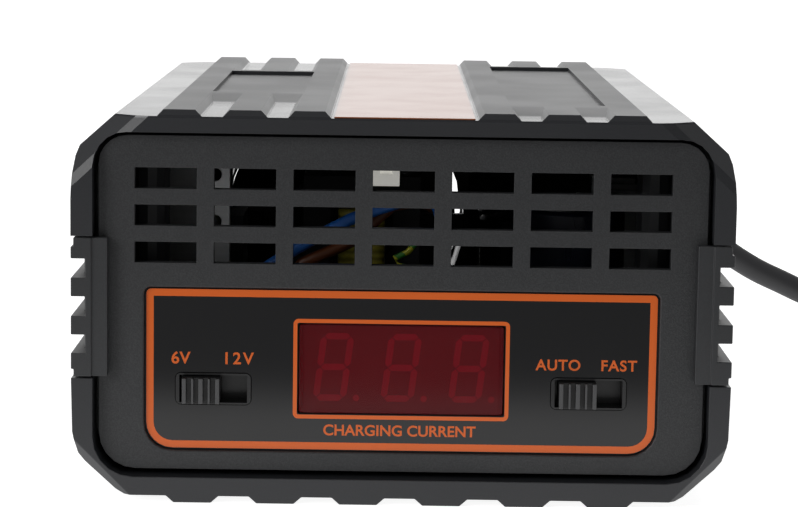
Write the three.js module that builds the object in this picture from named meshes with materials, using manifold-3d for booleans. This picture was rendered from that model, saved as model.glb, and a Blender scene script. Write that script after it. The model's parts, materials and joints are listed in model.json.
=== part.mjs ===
// A mains battery charger for car batteries: two ribbed half shells joined by side grips, a grille
// front with slide switches and a display, a cooling fan at the rear, the power electronics and a
// coiled mains lead.
// Millimetres, +Z up, the front faces -Y. The origin is on the underside, in the middle of the case.

import * as THREE from "three";
import { mergeVertices } from "three/addons/utils/BufferGeometryUtils.js";
import Module from "manifold-3d";

const wasm = await Module();
wasm.setup();

// ---------------------------------------------------------------- driving dimensions

const GAP = 0.3; // left between two pieces that touch
const FRONT = -80; // front plane of the shell lips
const REAR = 80;
const HALF_WIDTH = 62.5;

const TOP_Z = 75; // top of the raised plateaus
const VALLEY_Z = 73.7; // top plane beside and between them
const RIB_FALL = 1.2; // run of every bevel beside a rib
const TOP_EDGE_Z = 50.9; // lower edge of the top shell
const BOTTOM_EDGE_Z = 23.8; // upper edge of the bottom shell
const FOOT_Z = 1.3; // underside between the ribs

const LIP = { halfWidth: 58.4, low: 4.9, high: 70.6, lowRadius: 7.6, highRadius: 6.4 };
const CAVITY = { halfWidth: 60, low: 3.5, high: 71.5, radius: 12, halfDepth: 72.9 };

const PLATEAU = { inner: 14.9, outer: 45.1 };
const CHANNELS = [
  [20.6, 26.8],
  [32.8, 39.1],
]; // |x| of the notches' upper edges
const RECESS = { inner: 20.5, outer: 39.2, depth: 0.8 };
const LEFT_TOP = { frontNotch: 42.8, recessFrom: 46.5, recessTo: 109.5, rearNotch: 47 };
const RIGHT_TOP = { frontNotch: 18.1, recessFrom: 23, recessTo: 136.8, rearNotch: 22 };
const NOTCH_SLOPE = 12; // run of the sloping wall at a notch's inner end
const FOOT_RIBS = { centres: [7.9, 23.7, 39.5], halfFlat: 3.55, halfFoot: 5 };

// Planes that trim the case's corners: a point at the end face, the way out and the run back per mm.
const TOP_CUTS = [
  { x: 61.5, z: 61, outX: 0.68, outZ: 0.733, slope: 0.5 },
  { x: 62.16, z: 61.7, outX: 0.68, outZ: 0.733, slope: 1.17 },
];
const BOTTOM_CUTS = [{ x: 56.5, z: 6.5, outX: 0.707, outZ: -0.707, slope: 1.17 }];

const GRIP = {
  low: 24.1,
  high: 50.6,
  inner: 59,
  shoulder: 58.6,
  flangeInner: 55.6,
  flangeDepth: 2.2,
  flangeSet: 0.4,
  grooveDepth: 1.9,
  mouthDepth: 2.75,
  mouthLength: 6,
  edgeInset: 0.5,
  edgeLow: 25.5,
  edgeHigh: 48.9,
};
const GRIP_GROOVES = [
  [43.0, 46.6],
  [35.7, 39.4],
  [28.6, 32.1],
];
const GRIP_TONGUE = { inner: 57.9, outer: 59.7, low: 21.9, high: 52.8, halfDepth: 70 };

const PANEL = {
  halfWidth: 57.5,
  low: 6,
  high: 69.9,
  lowRadius: 7,
  highRadius: 5.5,
  recess: 2.5,
  thickness: 2.5,
  skirt: 1.6,
  skirtDepth: 6.5,
};
const PANEL_FLANGE = { halfWidth: 58.7, low: 3.9, high: 71.1, radius: 11, thickness: 1.6 };
const PANEL_FACE = FRONT + PANEL.recess;

const SLOT = { width: 11.7, height: 3.95, pitch: 14.95, columns: 7 };
const SLOT_ROWS = [61.8, 54.75, 47.7];

const FILM = {
  halfWidth: 48.6,
  low: 9.9,
  high: 40.75,
  lowRadius: 5.1,
  highRadius: 0.9,
  recess: 0.8,
  thickness: 0.4,
  fit: 0.12,
};
const FILM_SEAT = 1.3; // depth of the pocket in the panel that the film lies in
const FILM_FACE = PANEL_FACE + FILM.recess;
const WINDOW = { x: 0, z: 25.6, width: 38.9, height: 17, thickness: 2 };
const DIGIT_MODULE = { width: 37.6, height: 18.6, depth: 7.6 };
const SWITCH = {
  x: 35.75,
  z: 21.5,
  collarWidth: 14.3,
  collarHeight: 6,
  collarReach: 0.2,
  slotWidth: 12.9,
  slotHeight: 5.3,
  slotBehind: 3,
  bodyWidth: 17,
  bodyHeight: 9,
};
const KNOB = { width: 7.1, height: 4.85, travel: 4.4, reach: 3.2, tail: 2.6, grooveDepth: 1.3 };
const KNOB_GROOVES = [
  [-2.77, -1.77],
  [-1.35, -0.42],
  [0.42, 1.35],
  [1.77, 2.77],
]; // from the knob's middle

const LABEL = { halfWidth: 13.2, halfDepth: 79.6, thickness: 0.25 };

const BOARD = { halfWidth: 51, front: -51, back: 50, low: 14, thickness: 1.6 };
const BOARD_POST = { x: 33, front: -44, back: 42, radius: 3.5, hole: 1.6 };
const CASE_BOSS = {
  x: 49.3,
  y: 62,
  radius: 4,
  joint: 37,
  headSeat: 14,
  headRadius: 3.4,
  hole: 1.9,
  pilot: 1.7,
  pilotEnd: 56,
};

const FAN = { x: -14, z: 38, size: 60, depth: 20, bore: 29, hub: 13.5, screwPitch: 25, screwHole: 2.15 };
const BLADE = { count: 7, length: 14.6, chord: 19, thickness: 1.4, pitch: 30, radius: 20 };
const TRANSFORMER = {
  x: -8.55,
  y: -15,
  low: 22,
  high: 57,
  halfWidth: 12.3,
  halfDepth: 9,
  halfCore: 2.5,
  leg: 5.8,
  yoke: 6,
  footX: 9,
  footHalfWidth: 2,
  footHalfDepth: 7,
};
const WINDING = { halfWidth: 4.85, halfDepth: 15, low: 28.3, high: 50.7, wall: 1.9, radius: 2.2 };
const FAN_GUARD = [
  [7, 10.5],
  [13, 16.5],
  [19, 22.5],
  [25, 28.5],
];
const MAINS_EXIT = { x: 40, z: 30, hole: 6, length: 30 };
const OUTPUT_EXIT = { x: 38, z: 52, hole: 5.5, bore: 3.4 };

const DISPLAY_BOARD = { halfWidth: 44.8, low: 12, high: 39, thickness: 1.6 };
const HEAT_SINK = { wall: 2, finPitch: 13, finThickness: 1.6, finTip: 55, finLift: 4 };
const LEFT_SINK = { outer: -40.3, flangeEnd: -34.1, front: -56, back: 20, top: 66, finsFrom: -30, fins: 4 };
const LEFT_SINK_HOLES = { x: -37, heights: [60.3, 51], radius: 1.25 };
const RIGHT_SINK = { inner: 45, front: 4, back: 50, top: 50, finsFrom: 6, fins: 4 };
const POWER_PACKAGE = {
  thickness: 4.6,
  halfWidth: 7.8,
  low: 28,
  high: 48,
  legPitch: 5.2,
  legWidth: 0.8,
  legDepth: 1.2,
};
const TRANSISTOR = { x: LEFT_SINK.outer + HEAT_SINK.wall + GAP, y: -14 };
const RECTIFIER = { x: RIGHT_SINK.inner - GAP, y: 24 };
const BULK_CAPACITOR = { x: 35, y: -30, radius: 11, height: 36 };
const OUTPUT_CAPACITORS = [
  { x: 24, y: 20, radius: 6.5, height: 28 },
  { x: 24, y: 36, radius: 6.5, height: 28 },
];
const CHOKE = { x: -10, y: 30, radius: 9.5, tube: 4.5 };
const RELAY = { left: 11, right: 24, front: -12, back: 7, height: 15.4 };
const FUSE = { x: -32, z: 22.5, front: 18, back: 38, radius: 2.4, capRadius: 2.8, capLength: 5 };
const CONNECTOR = {
  left: -6.1,
  right: -0.8,
  front: -58,
  back: -47,
  low: 58.7,
  high: 61.8,
  notch: 2.4,
  notchDepth: 0.8,
};

const CASE_SCREW = { head: 2.2, headRadius: 3.1, shaftRadius: 1.55, tip: 52 };
const BOARD_SCREW = { head: 2, headRadius: 2.8, shaftRadius: 1.4, tip: 6 };

const CABLE_RADIUS = 3.25;
const COIL = { x: 154, y: 94, inner: 25, outer: 49.5, low: 1, high: 14.2 };
const TIE = { halfWidth: 4, strap: 0.7 };
const PLUG = {
  x: 200.2,
  z: 18.4,
  tail: 32,
  radius: 18.2,
  length: 46,
  pinGap: 19,
  pinRadius: 2.4,
  pinLength: 19,
};
const WIRE_RADIUS = 1.25;
const EARTH_RADIUS = 0.6;

// The mains lead from the strain relief to the coil, and from the coil to the plug.
const CABLE_ROUTE = [
  [40, 73, 30],
  [40, 84, 30],
  [40, 97, 30],
  [40, 110, 30],
  [42.4, 121.5, 29.9],
  [48.8, 131.2, 29.4],
  [58.6, 137.2, 28.5],
  [70, 139.3, 27],
  [79, 139.3, 25],
  [86.3, 139.3, 22],
  [92, 139.3, 18.4],
  [97.5, 139.3, 15.2],
  [104, 139.4, 12.2],
  [111, 139.7, 9],
  [118, 140, 6.4],
  [124, 140, 4.8],
  [127.4, 140, 4.4],
];
const TAIL_ROUTE = [
  [200, 67, 11.6],
  [200.2, 58, 13.3],
  [200.2, 48, 15.7],
  [200.2, 40, 17.6],
  [200.2, 32.6, 18.4],
];

// Three wires from the board past the grille and back along the board to the strain relief.
const NEUTRAL_ROUTE = [
  [-30, -47, 16.2],
  [-30, -47.2, 19],
  [-31.5, -54, 28],
  [-30.5, -60, 39.5],
  [-25.3, -61, 43.6],
  [-15.6, -61, 49.6],
  [-9.5, -61, 52.8],
  [-5.2, -61, 54.4],
  [-2, -60.8, 55.9],
  [3, -60.4, 56.2],
  [6.4, -59.8, 55.6],
  [7.8, -58.8, 52.5],
  [7.9, -57.8, 46],
  [8.4, -56.5, 38],
  [11, -52, 30.5],
  [15, -40, 27],
  [18, -24, 27],
  [24.5, -16, 27],
  [31.5, -12, 27],
  [33.8, 2, 27],
  [34, 30, 26.2],
  [35, 52, 26.2],
  [38.3, 70.8, 32.2],
];
const LIVE_ROUTE = [
  [-26, -47, 16.2],
  [-26, -47.2, 19],
  [-25, -53, 28],
  [-23, -59, 40.5],
  [-19.3, -60.2, 43.8],
  [-15.6, -60, 45.4],
  [-10.8, -58.6, 47.2],
  [-5.4, -57, 51.9],
  [-2.6, -56.2, 54.4],
  [2, -55.4, 55.4],
  [5.8, -54.6, 55.2],
  [7.9, -53.6, 52],
  [8.1, -52.8, 45],
  [9, -50.5, 37.5],
  [11.5, -46.5, 32.2],
  [15.5, -36, 30.8],
  [18.2, -24.4, 30.8],
  [24.2, -17.4, 30.8],
  [31.8, -13.6, 30.8],
  [36.4, 2, 30],
  [37.2, 30, 28],
  [38.3, 52, 27],
  [41.7, 70.8, 32.2],
];
const EARTH_ROUTE = [
  [15, -47, 16.2],
  [15, -47.2, 19],
  [12.5, -54, 28],
  [6, -59.5, 40],
  [0.9, -61.3, 43.4],
  [-1.2, -61.5, 43.6],
  [-2.3, -61.5, 44.4],
  [-1.2, -61.5, 45.2],
  [0.8, -61.6, 46.1],
  [2.4, -61.8, 48],
  [4.4, -62, 49.2],
  [6.8, -62, 48.8],
  [8, -62, 46],
  [9.5, -61, 36],
  [13.5, -56, 28],
  [18, -42, 23.6],
  [21.5, -26, 23.6],
  [27.5, -13, 23.6],
  [32.2, 2, 23.4],
  [33.4, 30, 22.6],
  [36, 52, 22.6],
  [40, 70.8, 28.6],
];

const QUARTERS = [
  [-1, -1],
  [1, -1],
  [1, 1],
  [-1, 1],
];
const CASE_CORNERS = QUARTERS.map(([x, y]) => [x * CASE_BOSS.x, y * CASE_BOSS.y]);
const BOARD_CORNERS = QUARTERS.map(([x, end]) => {
  const y = end > 0 ? BOARD_POST.back : BOARD_POST.front;
  return [x * BOARD_POST.x, y];
});
const FAN_CORNERS = QUARTERS.map(([x, z]) => [FAN.x + x * FAN.screwPitch, FAN.z + z * FAN.screwPitch]);

// ---------------------------------------------------------------- solids, joins and cuts

// A closed geometry as a solid that can be joined and cut.
function solid(geometry) {
  const bare = geometry.clone();
  bare.deleteAttribute("normal");
  bare.deleteAttribute("uv");
  const merged = mergeVertices(bare, 1e-4);
  return new wasm.Manifold(
    new wasm.Mesh({
      numProp: 3,
      vertProperties: merged.attributes.position.array,
      triVerts: new Uint32Array(merged.index.array),
    }),
  );
}

// A solid's triangles as a geometry with flat normals.
function geometryOf(body) {
  const mesh = body.getMesh();
  const indexed = new THREE.BufferGeometry();
  indexed.setAttribute("position", new THREE.BufferAttribute(mesh.vertProperties, 3));
  indexed.setIndex(new THREE.BufferAttribute(mesh.triVerts, 1));
  const flat = indexed.toNonIndexed();
  flat.computeVertexNormals();
  return flat;
}

function join(...bodies) {
  return bodies.reduce((whole, body) => whole.add(body));
}

function cut(body, ...cutters) {
  return cutters.reduce((rest, cutter) => rest.subtract(cutter), body);
}

// A box between two corners.
function block([x0, y0, z0], [x1, y1, z1]) {
  const geometry = new THREE.BoxGeometry(x1 - x0, y1 - y0, z1 - z0);
  geometry.translate((x0 + x1) / 2, (y0 + y1) / 2, (z0 + z1) / 2);
  return solid(geometry);
}

function extrusion(outline, depth) {
  const points = outline.map(([u, v]) => new THREE.Vector2(u, v));
  return new THREE.ExtrudeGeometry(new THREE.Shape(points), { depth, bevelEnabled: false });
}

// An outline of [x, z] points drawn out along Y.
function alongY(outline, from, to) {
  const geometry = extrusion(outline, to - from);
  geometry.rotateX(Math.PI / 2);
  geometry.translate(0, to, 0);
  return solid(geometry);
}

// An outline of [y, z] points drawn out along X.
function alongX(outline, from, to) {
  const geometry = extrusion(outline, to - from);
  const turn = new THREE.Matrix4().makeBasis(
    new THREE.Vector3(0, 1, 0),
    new THREE.Vector3(0, 0, 1),
    new THREE.Vector3(1, 0, 0),
  );
  geometry.applyMatrix4(turn);
  geometry.translate(from, 0, 0);
  return solid(geometry);
}

// An outline of [x, y] points drawn out along Z.
function alongZ(outline, from, to) {
  const geometry = extrusion(outline, to - from);
  geometry.translate(0, 0, from);
  return solid(geometry);
}

// A profile of [radius, height] points, from low to high on its outside, turned about an upright axis.
function turnedZ(profile, x, y, segments = 32) {
  const points = profile.map(([radius, height]) => new THREE.Vector2(radius, height));
  const geometry = new THREE.LatheGeometry(points, segments);
  geometry.rotateX(Math.PI / 2);
  geometry.translate(x, y, 0);
  return solid(geometry);
}

// A profile of [radius, y] points, from front to rear on its outside, turned about an axis along Y.
function turnedY(profile, x, z, segments = 32) {
  const points = profile.map(([radius, along]) => new THREE.Vector2(radius, along));
  const geometry = new THREE.LatheGeometry(points, segments);
  geometry.translate(x, 0, z);
  return solid(geometry);
}

function rodY(radius, from, to, x, z, segments = 16) {
  return turnedY([[0, from], [radius, from], [radius, to], [0, to]], x, z, segments);
}

function rodZ(radius, from, to, x, y, segments = 14) {
  return turnedZ([[0, from], [radius, from], [radius, to], [0, to]], x, y, segments);
}

// A round wire along a smooth curve through the points.
function wire(route, radius, steps, sides = 8) {
  const points = route.map((point) => new THREE.Vector3(...point));
  const curve = new THREE.CatmullRomCurve3(points, false, "centripetal");
  const section = Array.from({ length: sides }, (_, side) => {
    const angle = (2 * Math.PI * side) / sides;
    return new THREE.Vector2(radius * Math.cos(angle), radius * Math.sin(angle));
  });
  const options = { steps, extrudePath: curve, bevelEnabled: false };
  return solid(new THREE.ExtrudeGeometry(new THREE.Shape(section), options));
}

function mirrorX(points) {
  return points.map(([x, ...rest]) => [-x, ...rest]);
}

// The right half of an outline, from its lowest point up, closed with its mirror image.
function symmetric(half) {
  return [...half, ...mirrorX(half).reverse()];
}

// Points on a quarter circle, from one angle in degrees to the next.
function corner(x, z, radius, fromDegrees, segments = 5) {
  return Array.from({ length: segments + 1 }, (_, step) => {
    const angle = THREE.MathUtils.degToRad(fromDegrees + (90 * step) / segments);
    return [x + radius * Math.cos(angle), z + radius * Math.sin(angle)];
  });
}

// A rectangle [x, z] about x = 0 with its own corner radius at the bottom and at the top.
function roundedFace({ halfWidth, low, high, lowRadius, highRadius }, inset = 0) {
  const side = halfWidth - inset;
  const bottom = low + inset;
  const top = high - inset;
  const small = Math.max(lowRadius - inset, 0.4);
  const large = Math.max(highRadius - inset, 0.4);
  return symmetric([
    ...corner(side - small, bottom + small, small, -90),
    ...corner(side - large, top - large, large, 0),
  ]);
}

// A rectangle outline with round corners, centred on (x, z).
function roundedPlate(x, z, width, height, radius) {
  const face = roundedFace({
    halfWidth: width / 2,
    low: z - height / 2,
    high: z + height / 2,
    lowRadius: radius,
    highRadius: radius,
  });
  return face.map(([u, v]) => [u + x, v]);
}

// Everything in front of a tilted plane, as a solid large enough to trim a corner of the case.
function cornerTrim({ x, z, outX, outZ, slope }, side, end) {
  const normal = new THREE.Vector3(outX * slope * side, end, outZ * slope).normalize();
  const geometry = new THREE.BoxGeometry(80, 80, 40);
  geometry.translate(0, 0, 20);
  geometry.applyQuaternion(new THREE.Quaternion().setFromUnitVectors(new THREE.Vector3(0, 0, 1), normal));
  geometry.translate(x * side, REAR * end, z);
  return solid(geometry);
}

function trimCorners(body, planes) {
  const corners = QUARTERS.flatMap(([side, end]) => planes.map((plane) => cornerTrim(plane, side, end)));
  return cut(body, ...corners);
}

// ---------------------------------------------------------------- the case

// The room inside both shells: the mouths at the lips and the wider hollow between them.
function shellHollow() {
  const mouths = alongY(roundedFace(LIP), FRONT - 1, REAR + 1);
  const middle = alongY(
    roundedFace({ ...CAVITY, lowRadius: CAVITY.radius, highRadius: CAVITY.radius }),
    -CAVITY.halfDepth,
    CAVITY.halfDepth,
  );
  return join(mouths, middle);
}

// One notch in a plateau: a channel that runs in from an end and climbs out over a sloping wall.
function notch([inner, outer], side, end, length) {
  const above = 1;
  const outline = [
    [inner + RIB_FALL, VALLEY_Z],
    [outer - RIB_FALL, VALLEY_Z],
    [outer + above, TOP_Z + above],
    [inner - above, TOP_Z + above],
  ];
  const channel = alongY(side > 0 ? outline : mirrorX(outline).reverse(), FRONT - 1, REAR + 1);
  const climb = (NOTCH_SLOPE * (TOP_Z + above - VALLEY_Z)) / (TOP_Z - VALLEY_Z);
  const mouth = (REAR + 1) * end;
  const floorEnd = (REAR - length + NOTCH_SLOPE) * end;
  const reach = [
    [mouth, VALLEY_Z - 1],
    [floorEnd, VALLEY_Z - 1],
    [floorEnd, VALLEY_Z],
    [floorEnd - climb * end, TOP_Z + above],
    [mouth, TOP_Z + above],
  ];
  return channel.intersect(alongX(end > 0 ? reach.reverse() : reach, -HALF_WIDTH, HALF_WIDTH));
}

function plateauCuts(side, { frontNotch, recessFrom, recessTo, rearNotch }) {
  const notches = CHANNELS.flatMap((channel) => [
    notch(channel, side, -1, frontNotch),
    notch(channel, side, 1, rearNotch),
  ]);
  const [low, high] = side > 0 ? [RECESS.inner, RECESS.outer] : [-RECESS.outer, -RECESS.inner];
  const recess = block(
    [low, FRONT + recessFrom, TOP_Z - RECESS.depth],
    [high, FRONT + recessTo, TOP_Z + 1],
  );
  return [...notches, recess];
}

function topShell() {
  const outer = alongY(
    symmetric([
      [HALF_WIDTH, TOP_EDGE_Z],
      [HALF_WIDTH, 58],
      [62.3, 62.5],
      [61.9, 65.8],
      [61.2, 67.7],
      [54.5, VALLEY_Z],
      [PLATEAU.outer + RIB_FALL, VALLEY_Z],
      [PLATEAU.outer, TOP_Z],
      [PLATEAU.inner, TOP_Z],
      [PLATEAU.inner - RIB_FALL, VALLEY_Z],
    ]),
    FRONT,
    REAR,
  );
  const shell = cut(outer, shellHollow(), ...plateauCuts(-1, LEFT_TOP), ...plateauCuts(1, RIGHT_TOP));
  const { radius, joint, pilot, pilotEnd } = CASE_BOSS;
  const bosses = CASE_CORNERS.map(([x, y]) => rodZ(radius, joint + GAP, CAVITY.high + 0.5, x, y));
  const pilots = CASE_CORNERS.map(([x, y]) => rodZ(pilot, joint - 1, pilotEnd, x, y, 10));
  return cut(join(trimCorners(shell, TOP_CUTS), ...bosses), ...pilots);
}

function bottomShell() {
  const { centres, halfFlat, halfFoot } = FOOT_RIBS;
  const ribs = centres.flatMap((centre) => [
    [centre - halfFoot, FOOT_Z],
    [centre - halfFlat, 0],
    [centre + halfFlat, 0],
    [centre + halfFoot, FOOT_Z],
  ]);
  const side = [
    [52.5, FOOT_Z],
    [54.2, 2.1],
    [60.1, 7.3],
    [61.4, 9],
    [62.3, 13.5],
    [HALF_WIDTH, BOTTOM_EDGE_Z],
  ];
  const outer = alongY(symmetric([...ribs, ...side]), FRONT, REAR);
  const shell = trimCorners(cut(outer, shellHollow()), BOTTOM_CUTS);
  const root = CAVITY.low - 0.5;
  const posts = BOARD_CORNERS.map(([x, y]) => rodZ(BOARD_POST.radius, root, BOARD.low - GAP, x, y));
  const bosses = CASE_CORNERS.map(([x, y]) => rodZ(CASE_BOSS.radius, root, CASE_BOSS.joint, x, y));
  const bores = CASE_CORNERS.flatMap(([x, y]) => [
    rodZ(CASE_BOSS.hole, -1, CASE_BOSS.joint + 1, x, y, 10),
    rodZ(CASE_BOSS.headRadius, -1, CASE_BOSS.headSeat, x, y),
  ]);
  const postHoles = BOARD_CORNERS.map(([x, y]) => rodZ(BOARD_POST.hole, 5, BOARD.low, x, y, 10));
  return cut(join(shell, ...posts, ...bosses), ...bores, ...postHoles);
}

// The right-hand grip: a grooved rail along the side whose ends fold over the panels' edges.
function sideGrip() {
  const { low, high, inner, shoulder, flangeInner, flangeDepth, flangeSet } = GRIP;
  const rail = block([inner, FRONT, low], [HALF_WIDTH, REAR, high]);
  const ends = [-1, 1].flatMap((end) => {
    const span = (from, to) => [Math.min(from * end, to * end), Math.max(from * end, to * end)];
    const [shoulderLow, shoulderHigh] = span(REAR - flangeDepth, REAR);
    const [flangeLow, flangeHigh] = span(REAR - flangeDepth, REAR - flangeSet);
    return [
      block([shoulder, shoulderLow, low], [HALF_WIDTH, shoulderHigh, high]),
      block([flangeInner, flangeLow, low], [HALF_WIDTH, flangeHigh, high]),
    ];
  });
  const tongue = block(
    [GRIP_TONGUE.inner, -GRIP_TONGUE.halfDepth, GRIP_TONGUE.low],
    [GRIP_TONGUE.outer, GRIP_TONGUE.halfDepth, GRIP_TONGUE.high],
  );
  const strip = (depth, from, to, front = FRONT - 1, back = REAR + 1) =>
    block([HALF_WIDTH - depth, front, from], [HALF_WIDTH + 1, back, to]);
  const grooves = GRIP_GROOVES.flatMap(([from, to]) => [
    strip(GRIP.grooveDepth, from, to),
    strip(GRIP.mouthDepth, from, to, FRONT - 1, FRONT + GRIP.mouthLength),
    strip(GRIP.mouthDepth, from, to, REAR - GRIP.mouthLength, REAR + 1),
  ]);
  const edges = [
    strip(GRIP.edgeInset, low - 1, GRIP.edgeLow),
    strip(GRIP.edgeInset, GRIP.edgeHigh, high + 1),
  ];
  return cut(join(rail, ...ends, tongue), ...grooves, ...edges);
}

// A tray with its floor outwards: the face plate, a skirt behind it and a flange that the lips hold.
function panelTray(end) {
  const face = (REAR - PANEL.recess) * end;
  const behind = face - PANEL.skirtDepth * end;
  const flangeFace = behind + PANEL_FLANGE.thickness * end;
  const span = (outline, a, b) => alongY(outline, Math.min(a, b), Math.max(a, b));
  const skirt = span(roundedFace(PANEL), face, behind);
  const flange = span(
    roundedFace({ ...PANEL_FLANGE, lowRadius: PANEL_FLANGE.radius, highRadius: PANEL_FLANGE.radius }),
    flangeFace,
    behind,
  );
  const hollow = span(roundedFace(PANEL, PANEL.skirt), face - PANEL.thickness * end, behind - end);
  return cut(join(skirt, flange), hollow);
}

// The openings for the display window and the two switches, wider all round by a clearance.
function controlHoles(clearance, from, to) {
  const { collarWidth, collarHeight } = SWITCH;
  const windowWidth = WINDOW.width + 2 * GAP;
  const windowHeight = WINDOW.height + 2 * GAP;
  const switchWidth = collarWidth + 2 * clearance;
  const switchHeight = collarHeight + 2 * clearance;
  return [
    alongY(roundedPlate(WINDOW.x, WINDOW.z, windowWidth, windowHeight, 0.6), from, to),
    alongY(roundedPlate(-SWITCH.x, SWITCH.z, switchWidth, switchHeight, 1.2), from, to),
    alongY(roundedPlate(SWITCH.x, SWITCH.z, switchWidth, switchHeight, 1.2), from, to),
  ];
}

function frontPanel() {
  const behind = PANEL_FACE + PANEL.thickness + 1;
  const slots = SLOT_ROWS.flatMap((z) =>
    Array.from({ length: SLOT.columns }, (_, column) => {
      const x = (column - (SLOT.columns - 1) / 2) * SLOT.pitch;
      const half = SLOT.width / 2;
      return block([x - half, FRONT, z - SLOT.height / 2], [x + half, behind, z + SLOT.height / 2]);
    }),
  );
  const pocket = alongY(roundedFace(FILM, -GAP), FRONT, PANEL_FACE + FILM_SEAT);
  return cut(panelTray(-1), ...slots, pocket, ...controlHoles(GAP, FRONT, behind));
}

function rearPanel() {
  const inside = REAR - PANEL.recess - PANEL.thickness - 1;
  const rings = FAN_GUARD.map(([small, large]) => {
    const section = [
      [small, inside],
      [large, inside],
      [large, REAR],
      [small, REAR],
      [small, inside],
    ];
    return turnedY(section, FAN.x, FAN.z, 24);
  });
  const spokes = [45, 135].map((degrees) => {
    const geometry = new THREE.BoxGeometry(2 * FAN.bore + 4, 20, 3);
    geometry.rotateY(THREE.MathUtils.degToRad(degrees));
    geometry.translate(FAN.x, REAR, FAN.z);
    return solid(geometry);
  });
  const guard = cut(join(...rings), ...spokes);
  const screwHoles = FAN_CORNERS.map(([x, z]) => rodY(2, inside, REAR, x, z, 10));
  const exits = [MAINS_EXIT, OUTPUT_EXIT].map(({ x, z, hole }) => rodY(hole, inside, REAR, x, z));
  return cut(panelTray(1), guard, ...screwHoles, ...exits);
}

// The glossy printed film around the display and the switches.
function controlOverlay() {
  const film = alongY(roundedFace(FILM), FILM_FACE, FILM_FACE + FILM.thickness);
  return cut(film, ...controlHoles(FILM.fit, FRONT, REAR));
}

function topLabel() {
  const low = VALLEY_Z + 0.05;
  return block(
    [-LABEL.halfWidth, -LABEL.halfDepth, low],
    [LABEL.halfWidth, LABEL.halfDepth, low + LABEL.thickness],
  );
}

// ---------------------------------------------------------------- display and switches

const WINDOW_FACE = FILM_FACE + 0.15;
const MODULE_FACE = WINDOW_FACE + WINDOW.thickness + GAP;
const DISPLAY_BOARD_FACE = MODULE_FACE + DIGIT_MODULE.depth + GAP;

function displayWindow() {
  const outline = roundedPlate(WINDOW.x, WINDOW.z, WINDOW.width, WINDOW.height, 0.5);
  return alongY(outline, WINDOW_FACE, WINDOW_FACE + WINDOW.thickness);
}

function displayModule() {
  const { width, height, depth } = DIGIT_MODULE;
  return block(
    [WINDOW.x - width / 2, MODULE_FACE, WINDOW.z - height / 2],
    [WINDOW.x + width / 2, MODULE_FACE + depth, WINDOW.z + height / 2],
  );
}

function displayBoard() {
  const { halfWidth, low, high, thickness } = DISPLAY_BOARD;
  return block([-halfWidth, DISPLAY_BOARD_FACE, low], [halfWidth, DISPLAY_BOARD_FACE + thickness, high]);
}

// The fixed part of a slide switch: its body behind the panel and the collar around the slot.
function switchBody(x) {
  const collarFace = FILM_FACE - SWITCH.collarReach;
  const bodyFace = PANEL_FACE + PANEL.thickness + GAP;
  const collar = alongY(
    roundedPlate(x, SWITCH.z, SWITCH.collarWidth, SWITCH.collarHeight, 1),
    collarFace,
    bodyFace + 1,
  );
  const body = block(
    [x - SWITCH.bodyWidth / 2, bodyFace, SWITCH.z - SWITCH.bodyHeight / 2],
    [x + SWITCH.bodyWidth / 2, DISPLAY_BOARD_FACE - GAP, SWITCH.z + SWITCH.bodyHeight / 2],
  );
  const slot = block(
    [x - SWITCH.slotWidth / 2, FRONT, SWITCH.z - SWITCH.slotHeight / 2],
    [x + SWITCH.slotWidth / 2, bodyFace + SWITCH.slotBehind, SWITCH.z + SWITCH.slotHeight / 2],
  );
  return cut(join(collar, body), slot);
}

// The sliding knob, at the left end of its travel.
function switchKnob(x) {
  const centre = x - KNOB.travel / 2;
  const front = FILM_FACE - KNOB.reach;
  const knob = block(
    [centre - KNOB.width / 2, front, SWITCH.z - KNOB.height / 2],
    [centre + KNOB.width / 2, PANEL_FACE + PANEL.thickness + KNOB.tail, SWITCH.z + KNOB.height / 2],
  );
  const grooves = KNOB_GROOVES.map(([left, right]) =>
    block(
      [centre + left, front - 1, SWITCH.z - KNOB.height],
      [centre + right, front + KNOB.grooveDepth, SWITCH.z + KNOB.height],
    ),
  );
  return cut(knob, ...grooves);
}

// ---------------------------------------------------------------- circuit board and what stands on it

const BOARD_TOP = BOARD.low + BOARD.thickness;
const SEAT = BOARD_TOP + GAP;

function mainBoard() {
  const board = block([-BOARD.halfWidth, BOARD.front, BOARD.low], [BOARD.halfWidth, BOARD.back, BOARD_TOP]);
  const holes = BOARD_CORNERS.map(([x, y]) => rodZ(BOARD_POST.hole, BOARD.low - 1, BOARD_TOP + 1, x, y, 10));
  return cut(board, ...holes);
}

function transformerCore() {
  const { x, y, low, high, halfWidth, halfDepth, halfCore, leg, yoke } = TRANSFORMER;
  const core = block([x - halfWidth, y - halfDepth, low], [x + halfWidth, y + halfDepth, high]);
  const windows = [-1, 1].map((side) => {
    const near = x + side * halfCore;
    const far = x + side * (halfWidth - leg);
    return block(
      [Math.min(near, far), y - halfDepth - 1, low + yoke],
      [Math.max(near, far), y + halfDepth + 1, high - yoke],
    );
  });
  const { footX, footHalfWidth, footHalfDepth } = TRANSFORMER;
  const feet = [x - footX, x + footX].map((middle) =>
    block(
      [middle - footHalfWidth, y - footHalfDepth, SEAT],
      [middle + footHalfWidth, y + footHalfDepth, low + 0.5],
    ),
  );
  return cut(join(core, ...feet), ...windows);
}

function transformerWinding() {
  const { halfWidth, halfDepth, low, high, wall, radius } = WINDING;
  const { x, y } = TRANSFORMER;
  const coil = alongZ(roundedPlate(x, y, 2 * halfWidth, 2 * halfDepth, radius), low, high);
  const room = TRANSFORMER.halfDepth + 0.4;
  const core = block([x - halfWidth + wall, y - room, low - 1], [x + halfWidth - wall, y + room, high + 1]);
  return cut(coil, core);
}

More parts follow.
